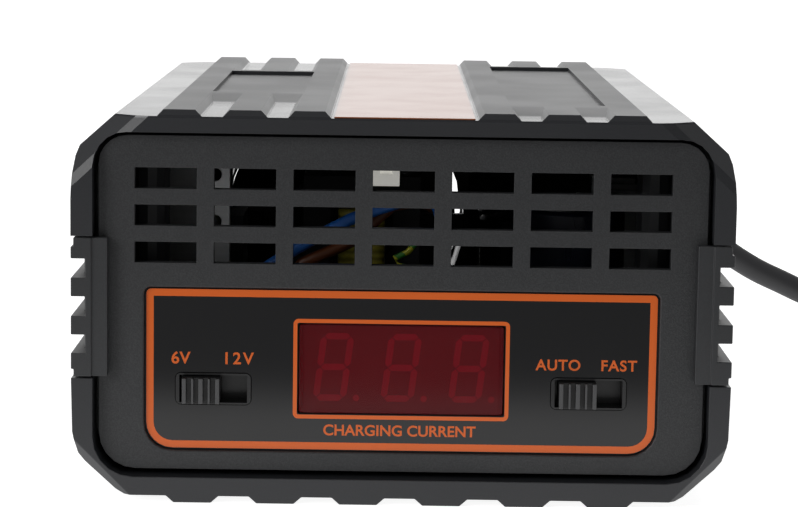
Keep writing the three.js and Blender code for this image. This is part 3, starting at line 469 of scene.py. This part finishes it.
def glowing_floor(name, stage):
    """A pale floor that gives off light around and behind the charger."""
    finish = Finish(name, FLOOR_SHADE, 0.8, **{"Emission Strength": 1.0})
    depth = finish.along("Y", finish.place())
    front = CAD_BOX[0].y
    lit = depth.spread(front - FADE_END, front - FADE_START)
    glow = [stage.floor_glow] * 3
    finish.set("Emission Color", finish.mix(lit, (0, 0, 0), glow))
    finish.shades(finish.noise(6), 0.01)
    return finish.material


def knob_front():
    """How far forward the switch knobs reach."""
    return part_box("voltage_switch_knob")[0].y


# Each finish by its slot in the record or by the detail that it is for.
FINISHES = {
    "shell": lambda of: shell_plastic("shell_plastic", of.shell),
    "grip": lambda of: moulded_plastic("grip_plastic", of.grip, 0.44),
    "panel": lambda of: moulded_plastic("panel_plastic", of.panel, 0.52, 3300, 0.05 * MM, 0.008),
    "film": lambda of: glossy_film("control_film", of.film),
    "print": lambda of: glossy_film("orange_print", of.print, 0.3),
    "label": lambda of: glossy_film("label_film", of.label, 0.2),
    "window": lambda of: red_filter("display_filter", of.window),
    "digits": lambda of: glossy_film("digit_segments", of.digits, 0.35),
    "digit_face": lambda of: moulded_plastic("digit_face", srgb("6a141e"), 0.5),
    "black_plastic": lambda of: moulded_plastic("black_plastic", srgb("1a1a1b"), 0.34),
    "knob": lambda of: slider_plastic("knob_plastic", srgb("0c0c0d"), knob_front()),
    "white_plastic": lambda of: white_plastic_with_painted_glow("white_plastic", srgb("eceae2")),
    "circuit_board": lambda of: circuit_board("solder_mask"),
    "ferrite": lambda of: sintered_ferrite("ferrite"),
    "yellow_tape": lambda of: wound_tape("yellow_tape"),
    "aluminium": lambda of: brushed_metal("brushed_aluminium", srgb("e2e3e4"), 0.5),
    "steel": lambda of: brushed_metal("zinc_steel", srgb("8f9093"), 0.36, (1, 1, 1), 1500),
    "nickel": lambda of: brushed_metal("nickel_plate", srgb("cfcbc0"), 0.24, (1, 0.08, 1), 1200),
    "copper": lambda of: copper_winding("copper_winding"),
    "sleeve": lambda of: can_sleeve("can_sleeve"),
    "fuse_glass": lambda of: clear_glass("fuse_glass"),
    "blue_wire": lambda of: soft_insulation("blue_insulation", srgb("2464b8")),
    "brown_wire": lambda of: soft_insulation("brown_insulation", srgb("6b3a1e")),
    "earth_wire": lambda of: soft_insulation("earth_insulation", srgb("c6c52c"), srgb("3c8a34")),
    "cable": lambda of: rubber_sheath("lead_sheath", of.lead),
    "tie": lambda of: woven_strap("tie_strap"),
}
made_finishes = {}


def finish(name):
    """The material of a name, made when it is first asked for."""
    if name not in made_finishes:
        made_finishes[name] = FINISHES[name](bpy.context.scene.charger_colours)
    return made_finishes[name]


# ------------------------------------------------------------------ mesh work

MERGE_DISTANCE = 0.002 * MM
FLAT_ANGLE = math.radians(0.6)
# A fold is kept crisp when it turns this much, is this short and lies between faces this big.
FOLD_ANGLES = (math.radians(2), math.radians(9))
FOLD_LENGTH = 30 * MM
FOLD_AREA = 4 * MM * MM
CORNER_SEGMENTS = 6
# The rounding of thin sheets and wires, and that of the knobs' ridges and the screws.
THIN_EDGE = 0.05 * MM
CRISP_EDGE = 0.12 * MM


def mark_shallow_creases(mesh):
    """Keeps the short, shallow folds between flat faces crisp."""
    bm = bmesh.new()
    bm.from_mesh(mesh)
    shallow, steep = FOLD_ANGLES
    for edge in bm.edges:
        if len(edge.link_faces) == 2 and shallow < edge.calc_face_angle(0) < steep:
            smaller = min(face.calc_area() for face in edge.link_faces)
            if smaller > FOLD_AREA and edge.calc_length() < FOLD_LENGTH:
                edge.smooth = False
    bm.to_mesh(mesh)
    bm.free()


def finished(name, bm, material, body="case", replaces=(), smooth=35):
    """A bmesh as a named piece that rides on a body and stands for CAD nodes."""
    mesh = bpy.data.meshes.new(name)
    bm.to_mesh(mesh)
    bm.free()
    piece = bpy.data.objects.new(name, mesh)
    bpy.context.collection.objects.link(piece)
    mesh.materials.append(finish(material))
    if smooth:
        mesh.shade_smooth()
        mesh.set_sharp_from_angle(angle=math.radians(smooth))
        mark_shallow_creases(mesh)
        evened = piece.modifiers.new("flat_faces", "WEIGHTED_NORMAL")
        evened.keep_sharp = True
    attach(piece, body)
    if replaces:
        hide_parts(*replaces)
    return piece


def merged_copy(node):
    """A CAD node's solid with its shared points merged and its flat areas made whole faces."""
    bm = bmesh.new()
    bm.from_mesh(frame["nodes"][node].data)
    bmesh.ops.remove_doubles(bm, verts=bm.verts, dist=MERGE_DISTANCE)
    bmesh.ops.dissolve_limit(
        bm, angle_limit=FLAT_ANGLE, verts=bm.verts, edges=bm.edges, delimit={"NORMAL"}
    )
    return bm


def soften(bm, width, segments=2, sharper_than=28, only=None):
    """Rounds every edge where the surface turns by more than an angle in degrees."""
    turning = [
        edge
        for edge in bm.edges
        if len(edge.link_faces) == 2 and edge.calc_face_angle(0) > math.radians(sharper_than)
    ]
    edges = [edge for edge in turning if only is None or only(edge)]
    bmesh.ops.bevel(
        bm,
        geom=edges,
        offset=width,
        offset_type="OFFSET",
        segments=segments,
        profile=0.5,
        affect="EDGES",
        clamp_overlap=True,
        material=-1,
    )


def slot_of(node):
    """The record's material slot of a CAD node."""
    for row in frame["record"]["subparts"]:
        if row["node"] == node:
            return row["material_slot"]
    raise ValueError(f"no subpart row names {node}")


def refined(node, width, material=None, body="case", segments=2, sharper_than=28, smooth=35):
    """A CAD node with its edges rounded, in place of the plain solid."""
    bm = merged_copy(node)
    soften(bm, width, segments, sharper_than)
    slot = slot_of(node)
    return finished(f"{node}_finish", bm, material or slot, body, [node], smooth)


def drawn_out(bm, faces, along):
    """Turns flat faces into a closed solid by drawing them out."""
    made = bmesh.ops.extrude_face_region(bm, geom=faces)["geom"]
    moved = [item for item in made if isinstance(item, bmesh.types.BMVert)]
    bmesh.ops.translate(bm, verts=moved, vec=along)
    bmesh.ops.recalc_face_normals(bm, faces=bm.faces)


def upright_plate(bm, centre, width, height, low_radius, high_radius):
    """One flat face that looks to the front, with its own corner radius below and above."""
    standing = Matrix.Translation(centre) @ Matrix.Rotation(math.radians(90), 4, "X")
    matrix = standing @ Matrix.Diagonal((width, height, 1, 1))
    before = set(bm.faces)
    bmesh.ops.create_grid(bm, x_segments=1, y_segments=1, size=0.5, matrix=matrix)
    for radius, upper in ((low_radius, False), (high_radius, True)):
        face = next(face for face in bm.faces if face not in before)
        corners = [vert for vert in face.verts if (vert.co.z > centre[2]) == upper]
        bmesh.ops.bevel(
            bm,
            geom=corners,
            offset=radius,
            offset_type="OFFSET",
            segments=CORNER_SEGMENTS,
            profile=0.5,
            affect="VERTICES",
            material=-1,
        )
    return next(face for face in bm.faces if face not in before)


def printed_frame(bm, centre, width, height, line, outer_radii, inner_radii, thickness):
    """A printed ring: the band between two rounded rectangles, with the print's thickness."""
    outer = upright_plate(bm, centre, width, height, *outer_radii)
    loops = list(outer.edges)
    inner = upright_plate(bm, centre, width - 2 * line, height - 2 * line, *inner_radii)
    loops += list(inner.edges)
    bmesh.ops.delete(bm, geom=[outer, inner], context="FACES_ONLY")
    faces = bmesh.ops.bridge_loops(bm, edges=loops)["faces"]
    drawn_out(bm, faces, (0, -thickness, 0))


# ------------------------------------------------------------------ case


def around_film(edge):
    """Whether an edge of the front panel is the rim of the pocket that the film lies in."""
    film_low, film_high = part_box("control_overlay")
    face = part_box("front_panel")[0].y
    room, play = 0.6 * MM, 0.02 * MM
    return all(
        abs(vert.co.y - face) < play
        and film_low.x - room < vert.co.x < film_high.x + room
        and film_low.z - room < vert.co.z < film_high.z + room
        for vert in edge.verts
    )


class ChargerShells(Operator):
    """Rounds the moulded edges of the two half shells."""

    bl_idname = "charger.shells"
    bl_label = "Shells"

    def execute(self, context):
        edge = context.scene.charger_sizes.edge
        for node in ("top_shell", "bottom_shell"):
            refined(node, edge, segments=3, sharper_than=18)
        return {"FINISHED"}


class ChargerGrips(Operator):
    """Rounds the ridges of the two side grips."""

    bl_idname = "charger.grips"
    bl_label = "Side grips"

    def execute(self, context):
        edge = context.scene.charger_sizes.edge
        for node in ("side_grip_left", "side_grip_right"):
            refined(node, edge * 0.8, segments=3)
        return {"FINISHED"}


class ChargerPanels(Operator):
    """Finishes the front panel, with its rounded film pocket, and the rear panel."""

    bl_idname = "charger.panels"
    bl_label = "Panels"

    def execute(self, context):
        sizes = context.scene.charger_sizes
        bm = merged_copy("front_panel")
        soften(bm, sizes.pocket_edge, segments=5, only=around_film)
        soften(bm, sizes.fine_edge, sharper_than=40)
        finished("front_panel_finish", bm, "panel", replaces=["front_panel"])
        refined("rear_panel", sizes.fine_edge)
        refined("top_label", THIN_EDGE)
        return {"FINISHED"}


# ------------------------------------------------------------------ control area

# Corner radii below and above: of the border's outside and inside, then of the display's line.
BORDER_CORNERS = ((5 * MM, 0.9 * MM), (3.6 * MM, 0.1 * MM))
DISPLAY_CORNERS = ((1 * MM, 1 * MM), (0.3 * MM, 0.3 * MM))
BORDER_MARGIN = 0.1 * MM


class ChargerFilm(Operator):
    """Makes the glossy film and the orange lines printed around it and around the display."""

    bl_idname = "charger.film"
    bl_label = "Control film"

    def execute(self, context):
        sizes = context.scene.charger_sizes
        refined("control_overlay", THIN_EDGE, segments=1)
        low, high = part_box("control_overlay")
        middle = (low + high) / 2
        bm = bmesh.new()
        printed_frame(
            bm,
            (middle.x, low.y, middle.z),
            high.x - low.x - 2 * BORDER_MARGIN,
            high.z - low.z - 2 * BORDER_MARGIN,
            sizes.border_line,
            *BORDER_CORNERS,
            sizes.print_height,
        )
        pane_low, pane_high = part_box("display_window")
        centre = (pane_low + pane_high) / 2
        reach = sizes.frame_line + 0.02 * MM
        printed_frame(
            bm,
            (centre.x, low.y, centre.z),
            pane_high.x - pane_low.x + 2 * reach,
            pane_high.z - pane_low.z + 2 * reach,
            sizes.frame_line - 0.35 * MM,
            *DISPLAY_CORNERS,
            sizes.print_height,
        )
        finished("printed_borders", bm, "print", smooth=0)
        return {"FINISHED"}


# A legend's text, the middle of its line and the height of its capitals in millimetres, and
# how far its letters are spaced.
LEGENDS = [
    ("6V", -42, 27.3, 2.3, 1.05),
    ("12V", -31.1, 27.3, 2.3, 1.25),
    ("AUTO", 29.9, 26.9, 2.1, 1.08),
    ("FAST", 41.4, 26.9, 2.1, 1.12),
    ("CHARGING CURRENT", -0.2, 13.7, 2.1, 1),
]


# A capital's height as a share of the font size, and how far the strokes are thickened.
CAPITAL_SHARE = 0.72
STROKE_GROWTH = 0.06 * MM


def letter_mesh(text, capital, spacing, thickness):
    """A line of text as a flat mesh that lies in the XY plane."""
    line = bpy.data.curves.new("legend", "FONT")
    line.body = text
    line.align_x = "CENTER"
    line.align_y = "CENTER"
    line.size = capital / CAPITAL_SHARE
    line.space_character = spacing
    line.offset = STROKE_GROWTH
    line.extrude = thickness / 2
    holder = bpy.data.objects.new("legend", line)
    bpy.context.collection.objects.link(holder)
    bpy.context.view_layer.update()
    mesh = bpy.data.meshes.new_from_object(holder)
    bpy.data.objects.remove(holder)
    bpy.data.curves.remove(line)
    return mesh


class ChargerLegends(Operator):
    """Prints generic function words beside the switches and under the display."""

    bl_idname = "charger.legends"
    bl_label = "Legends"

    def execute(self, context):
        thickness = context.scene.charger_sizes.print_height
        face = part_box("control_overlay")[0].y
        upright = Matrix.Rotation(math.radians(90), 4, "X")
        bm = bmesh.new()
        for text, x, z, capital, spacing in LEGENDS:
            mesh = letter_mesh(text, capital * MM, spacing, thickness)
            mesh.transform(Matrix.Translation((x * MM, face - thickness / 2, z * MM)) @ upright)
            bm.from_mesh(mesh)
            bpy.data.meshes.remove(mesh)
        bmesh.ops.remove_doubles(bm, verts=bm.verts, dist=0.001 * MM)
        finished("printed_legends", bm, "print", smooth=0)
        return {"FINISHED"}


SEGMENT_GAP = 0.12 * MM
DIGIT_SLANT = math.tan(math.radians(7))
POINT_GAP = 1.8 * MM  # from a digit's right line to its decimal point


def segment_outline(start, end, bar):
    """A display segment between two corners of a digit, pointed at both ends."""
    start, end = Vector(start), Vector(end)
    run = (end - start).normalized()
    across = Vector((-run.y, run.x)) * bar / 2
    tip = run * bar / 2
    first, last = start + run * SEGMENT_GAP, end - run * SEGMENT_GAP
    near = [last, last - tip + across, first + tip + across]
    return [first, first + tip - across, last - tip - across, *near]


def digit_segments(half_width, half_height):
    """The seven lines of a digit, as pairs of points about its middle."""
    left, right = -half_width, half_width
    low, high = -half_height, half_height
    return [
        ((left, high), (right, high)),
        ((left, 0), (right, 0)),
        ((left, low), (right, low)),
        ((left, 0), (left, high)),
        ((right, 0), (right, high)),
        ((left, low), (left, 0)),
        ((right, low), (right, 0)),
    ]


class ChargerDisplay(Operator):
    """Makes the red window, the digit module behind it and its unlit segments."""

    bl_idname = "charger.display"
    bl_label = "Display"

    def execute(self, context):
        sizes = context.scene.charger_sizes
        refined("display_window", 0.1 * MM)
        refined("display_module", 0.2 * MM, "digit_face")
        refined("display_board", THIN_EDGE)
        low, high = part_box("display_module")
        centre = (low + high) / 2
        bar = sizes.segment
        half_width = (sizes.digit_width - bar) / 2
        half_height = (sizes.digit_height - bar) / 2
        bm = bmesh.new()
        for place in (-1, 0, 1):
            x = centre.x + place * sizes.digit_pitch
            for start, end in digit_segments(half_width, half_height):
                points = [
                    (x + point.x + point.y * DIGIT_SLANT, low.y, centre.z + point.y)
                    for point in segment_outline(start, end, bar)
                ]
                face = bm.faces.new([bm.verts.new(point) for point in points])
                drawn_out(bm, [face], (0, -sizes.print_height, 0))
            dot_place = (x + half_width + POINT_GAP, low.y, centre.z - half_height)
            round_corner = bar * 0.49
            dot = upright_plate(bm, dot_place, bar, bar, round_corner, round_corner)
            drawn_out(bm, [dot], (0, -sizes.print_height, 0))
        finished("digit_segments", bm, "digits", smooth=0)
        return {"FINISHED"}


class ChargerSwitches(Operator):
    """Makes the two slide switches and the knobs that slide in them."""

    bl_idname = "charger.switches"
    bl_label = "Slide switches"

    def execute(self, context):
        for side in ("voltage", "mode"):
            refined(f"{side}_switch_body", 0.22 * MM)
            refined(f"{side}_switch_knob", CRISP_EDGE, "knob", f"{side}_knob")
        return {"FINISHED"}


# ------------------------------------------------------------------ inside


class ChargerElectronics(Operator):
    """Finishes the circuit board and what stands on it."""

    bl_idname = "charger.electronics"
    bl_label = "Electronics"

    def execute(self, context):
        fine = context.scene.charger_sizes.fine_edge
        standing = ("main_board", "transformer_core", "heat_sink_left", "heat_sink_right")
        packages = ("power_transistor", "output_rectifier", "relay", "mains_fuse", "wire_connector")
        cans = ("bulk_capacitor", "output_capacitor_1", "output_capacitor_2")
        for node in standing + packages + cans:
            refined(node, fine)
        refined("transformer_winding", 0.5 * MM, segments=3)
        refined("output_choke", fine, smooth=60)
        return {"FINISHED"}


class ChargerWires(Operator):
    """Finishes the wires between the board, the grille and the strain relief."""

    bl_idname = "charger.wires"
    bl_label = "Wires"

    def execute(self, context):
        for node in ("neutral_wire", "live_wire", "earth_wire"):
            refined(node, THIN_EDGE, segments=1, sharper_than=60, smooth=70)
        return {"FINISHED"}


def turned(bm, profile, centre, steps=48):
    """Spins a profile of (radius, distance back) points into a closed round body."""
    verts = [bm.verts.new(centre + UP * radius + BACK * back) for radius, back in profile]
    edges = [bm.edges.new(pair) for pair in zip(verts, verts[1:])]
    bmesh.ops.spin(
        bm,
        geom=verts + edges,
        cent=centre,
        axis=BACK,
        dvec=(0, 0, 0),
        angle=2 * math.pi,
        steps=steps,
        use_merge=True,
        use_duplicate=False,
    )
    bmesh.ops.remove_doubles(bm, verts=bm.verts, dist=0.001 * MM)


# A blade wraps this far round the axis and leans this far over from its root to its tip.
BLADE_COUNT = 7
BLADE_ARC = math.radians(57)
BLADE_SWEEP = math.radians(14)
BLADE_DEPTH = 10 * MM
BLADE_THICKNESS = 1.2 * MM
TIP_CLEARANCE = 0.3 * MM
HUB_RADIUS = 13.5 * MM
HUB_DEPTH = 15.5 * MM
HUB_BEVEL = 0.9 * MM
SHAFT_RADIUS = 1.5 * MM


def add_blade(bm, centre, root, tip, turn):
    """A swept fan blade: a grid wrapped round the axis, then given its thickness."""
    grid = bmesh.ops.create_grid(bm, x_segments=8, y_segments=4, size=0.5)["verts"]
    for vert in grid:
        around, outwards = vert.co.x, vert.co.y + 0.5
        radius = root + (tip - root) * outwards
        angle = turn + BLADE_ARC * around + BLADE_SWEEP * outwards
        rise = BLADE_DEPTH * around
        vert.co = centre + Vector((radius * math.cos(angle), rise, radius * math.sin(angle)))
    faces = {face for vert in grid for face in vert.link_faces}
    bmesh.ops.solidify(bm, geom=list(faces), thickness=BLADE_THICKNESS)


def rotor_mesh():
    """The fan's hub, shaft and swept blades."""
    low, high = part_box("fan_rotor")
    middle = (low + high) / 2
    base = Vector((middle.x, high.y - HUB_DEPTH, middle.z))
    profile = [
        (0, low.y - base.y),
        (SHAFT_RADIUS, low.y - base.y),
        (SHAFT_RADIUS, 0),
        (HUB_RADIUS - HUB_BEVEL, 0),
        (HUB_RADIUS, HUB_BEVEL),
        (HUB_RADIUS, HUB_DEPTH - HUB_BEVEL),
        (HUB_RADIUS - HUB_BEVEL, HUB_DEPTH),
        (0, HUB_DEPTH),
    ]
    bm = bmesh.new()
    turned(bm, profile, base)
    root = HUB_RADIUS - BLADE_THICKNESS / 2
    tip = (high.x - low.x) / 2 - TIP_CLEARANCE
    for index in range(BLADE_COUNT):
        turn = 2 * math.pi * index / BLADE_COUNT
        add_blade(bm, base + BACK * (HUB_DEPTH / 2), root, tip, turn)
    bmesh.ops.recalc_face_normals(bm, faces=bm.faces)
    return bm


class ChargerFan(Operator):
    """Makes the fan's frame and its rotor, which turns by itself."""

    bl_idname = "charger.fan"
    bl_label = "Fan"

    def execute(self, context):
        fine = context.scene.charger_sizes.fine_edge
        refined("fan_frame", fine)
        slot = slot_of("fan_rotor")
        finished("fan_rotor_finish", rotor_mesh(), slot, "fan_rotor", ["fan_rotor"])
        return {"FINISHED"}


class ChargerScrews(Operator):
    """Finishes the screws of the fan, the case and the board."""

    bl_idname = "charger.screws"
    bl_label = "Screws"

    def execute(self, context):
        for kind in ("fan", "case", "board"):
            for index in range(1, 5):
                refined(f"{kind}_screw_{index}", CRISP_EDGE)
        return {"FINISHED"}


# ------------------------------------------------------------------ mains lead

# The lead's route in metres: from inside its strain relief to the coil, then on to the plug.
LEAD_IN = [
    (0.040, 0.073, 0.030),
    (0.040, 0.084, 0.030),
    (0.040, 0.097, 0.030),
    (0.040, 0.110, 0.030),
    (0.0424, 0.1215, 0.0299),
    (0.0488, 0.1312, 0.0294),
    (0.0586, 0.1372, 0.0285),
    (0.070, 0.1393, 0.027),
    (0.079, 0.1393, 0.025),
    (0.0863, 0.1393, 0.022),
    (0.092, 0.1393, 0.0184),
    (0.0975, 0.1393, 0.0152),
    (0.104, 0.1394, 0.0122),
    (0.111, 0.1397, 0.009),
    (0.118, 0.140, 0.0064),
    (0.124, 0.140, 0.0048),
    (0.1274, 0.140, 0.0044),
    (0.138, 0.140, 0.00425),
    (0.147, 0.140, 0.00425),
]
LEAD_OUT = [
    (0.200, 0.086, 0.0108),
    (0.200, 0.077, 0.0111),
    (0.200, 0.067, 0.0118),
    (0.2002, 0.058, 0.0134),
    (0.2002, 0.048, 0.0157),
    (0.2002, 0.040, 0.0176),
    (0.2002, 0.0326, 0.0184),
    (0.2002, 0.028, 0.0184),
]
COIL_RADIUS = 46 * MM
COIL_PLAY = 0.1 * MM  # between one turn and the next
STEP_TURNS = 0.25  # the part of a turn in which the lead climbs to the upper layer


def coil_turns(lead):
    """The coil's points: a spiral in along the floor, a step up, and a spiral out on top of it."""
    low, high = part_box("mains_cable_coil")
    centre = (low + high) / 2
    pitch = lead.diameter + COIL_PLAY
    floor_z = low.z + lead.diameter / 2
    total = 2 * lead.spiral_turns + STEP_TURNS
    count = round(total * lead.turn_points)
    points = []
    for index in range(count + 1):
        turn = total * index / count
        inward = min(turn, lead.spiral_turns)
        outward = max(turn - lead.spiral_turns - STEP_TURNS, 0)
        radius = COIL_RADIUS - pitch * (inward - outward)
        rise = min(max((turn - lead.spiral_turns) / STEP_TURNS, 0), 1)
        height = floor_z + lead.diameter * rise * rise * (3 - 2 * rise)
        angle = math.pi / 2 - 2 * math.pi * turn
        x = centre.x + radius * math.cos(angle)
        y = centre.y + radius * math.sin(angle)
        points.append((x, y, height))
    return points


def lead_curve(lead):
    """The lead as one smooth open spline along its route."""
    route = LEAD_IN + coil_turns(lead) + LEAD_OUT
    curve = bpy.data.curves.new("mains_lead", "CURVE")
    curve.dimensions = "3D"
    curve.bevel_depth = lead.diameter / 2
    curve.bevel_resolution = 5
    curve.resolution_u = 4
    curve.use_fill_caps = True
    spline = curve.splines.new("BEZIER")
    spline.bezier_points.add(len(route) - 1)
    for point, place in zip(spline.bezier_points, route):
        point.co = place
        point.handle_left_type = point.handle_right_type = "AUTO"
    curve.materials.append(finish("cable"))
    return curve


class ChargerLeadPieces(Operator):
    """Lays the mains lead in its coil, with its strain relief, tie and plug."""

    bl_idname = "charger.lead"
    bl_label = "Mains lead"

    def execute(self, context):
        sizes = context.scene.charger_sizes
        lead = context.scene.charger_lead
        cable = bpy.data.objects.new("mains_lead", lead_curve(lead))
        bpy.context.collection.objects.link(cable)
        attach(cable, "case")
        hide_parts("mains_cable", "mains_cable_coil", "mains_cable_tail")
        refined("output_gland", sizes.fine_edge)
        fittings = [
            refined("mains_strain_relief", sizes.fine_edge),
            refined("mains_plug_body", 0.4 * MM),
            refined("coil_tie", 0.2 * MM, "tie"),
            refined("plug_pin_left", 0.15 * MM),
            refined("plug_pin_right", 0.15 * MM),
        ]
        return {"FINISHED"}


# ------------------------------------------------------------------ stage

# The camera's place in metres, and its turns in degrees: down, to the side and about its view.
CAMERA_PLACE = (-0.00169, -0.563514, 0.114829)
CAMERA_PITCH = 7.8152
CAMERA_YAW = -0.1116
CAMERA_ROLL = 0.8451
# A light's place, the point it is aimed at and its size, in metres.
KEY_LIGHT = ((-0.95, -0.8, 0.5), (0, -0.08, 0.04), 0.5)
OVERHEAD_LIGHT = ((0, 0.1, 0.9), (0, 0, 0.03), 0.9)
FLOOR_HALF_SIDE = 3.0


def add_camera(lens):
    """The camera in front of the charger, a little above it."""
    data = bpy.data.cameras.new("camera")
    data.lens = lens
    data.clip_start = 0.01
    camera = bpy.data.objects.new("camera", data)
    bpy.context.collection.objects.link(camera)
    turn = Matrix.Rotation(math.radians(CAMERA_YAW), 4, "Z")
    tilt = Matrix.Rotation(math.radians(90 - CAMERA_PITCH), 4, "X")
    lean = Matrix.Rotation(math.radians(CAMERA_ROLL), 4, "Z")
    camera.location = CAMERA_PLACE
    camera.rotation_euler = (turn @ tilt @ lean).to_euler()
    bpy.context.scene.camera = camera


def add_light(name, power, place, aim, size):
    """A square soft light of a power in watts, turned to the point it is aimed at."""
    data = bpy.data.lights.new(name, "AREA")
    data.energy = power
    data.size = size
    light = bpy.data.objects.new(name, data)
    light.location = place
    light.rotation_euler = (Vector(aim) - Vector(place)).to_track_quat("-Z", "Y").to_euler()
    bpy.context.collection.objects.link(light)


def add_floor(stage):
    """The flat floor that the charger stands on."""
    bm = bmesh.new()
    bmesh.ops.create_grid(bm, x_segments=1, y_segments=1, size=FLOOR_HALF_SIDE)
    mesh = bpy.data.meshes.new("studio_floor")
    bm.to_mesh(mesh)
    bm.free()
    mesh.materials.append(glowing_floor("studio_floor", stage))
    floor = bpy.data.objects.new("studio_floor", mesh)
    bpy.context.collection.objects.link(floor)


def add_surroundings(stage):
    """A dim room with a bright wall behind the charger."""
    world = bpy.data.worlds.new("studio")
    world.use_nodes = True
    sky = Nodes(world.node_tree)
    direction = sky.node("TexCoord", output="Generated")
    behind = sky.along("Y", direction).spread(0.0, 0.5)
    below_top = 1 - sky.along("Z", direction).spread(0.3, 0.6)
    brightness = behind * below_top * (stage.backdrop - stage.room) + stage.room
    background = world.node_tree.nodes["Background"]
    background.inputs["Color"].default_value = (1, 1, 1, 1)
    sky.fill(background.inputs["Strength"], brightness)
    bpy.context.scene.world = world


class ChargerStudio(Operator):
    """Sets up the floor, the soft lights and the camera."""

    bl_idname = "charger.studio"
    bl_label = "Studio"

    def execute(self, context):
        stage = context.scene.charger_stage
        add_camera(stage.lens)
        add_floor(stage)
        add_surroundings(stage)
        add_light("key", stage.key, *KEY_LIGHT)
        add_light("overhead", stage.overhead, *OVERHEAD_LIGHT)
        context.scene.view_settings.view_transform = "Standard"
        return {"FINISHED"}


# ------------------------------------------------------------------ add-on

SETTINGS = {
    "charger_colours": ChargerColours,
    "charger_sizes": ChargerSizes,
    "charger_lead": ChargerLead,
    "charger_stage": ChargerStage,
}
OPERATORS = [
    ChargerStudio,
    ChargerLeadPieces,
    ChargerShells,
    ChargerGrips,
    ChargerPanels,
    ChargerFilm,
    ChargerLegends,
    ChargerDisplay,
    ChargerSwitches,
    ChargerElectronics,
    ChargerWires,
    ChargerFan,
    ChargerScrews,
]


class ChargerPanel(Panel):
    """Lists the charger's pieces in the sidebar."""

    bl_idname = "VIEW3D_PT_charger"
    bl_label = "Battery Charger"
    bl_space_type = "VIEW_3D"
    bl_region_type = "UI"
    bl_category = "Charger"

    def draw(self, context):
        for operator in OPERATORS:
            self.layout.operator(operator.bl_idname)
        for group in SETTINGS:
            settings = getattr(context.scene, group)
            for key in settings.__annotations__:
                self.layout.prop(settings, key)


def register():
    """Adds the settings, the operators and the panel to Blender."""
    for cls in (*SETTINGS.values(), *OPERATORS, ChargerPanel):
        bpy.utils.register_class(cls)
    for name, group in SETTINGS.items():
        setattr(bpy.types.Scene, name, PointerProperty(type=group))


def unregister():
    """Takes them away again."""
    for name in SETTINGS:
        delattr(bpy.types.Scene, name)
    for cls in (ChargerPanel, *reversed(OPERATORS), *reversed(SETTINGS.values())):
        bpy.utils.unregister_class(cls)


def main():
    """Builds every piece in order."""
    register()
    for operator in OPERATORS:
        name = operator.bl_idname.removeprefix("charger.")
        getattr(bpy.ops.charger, name)()


if __name__ == "__main__":
    main()
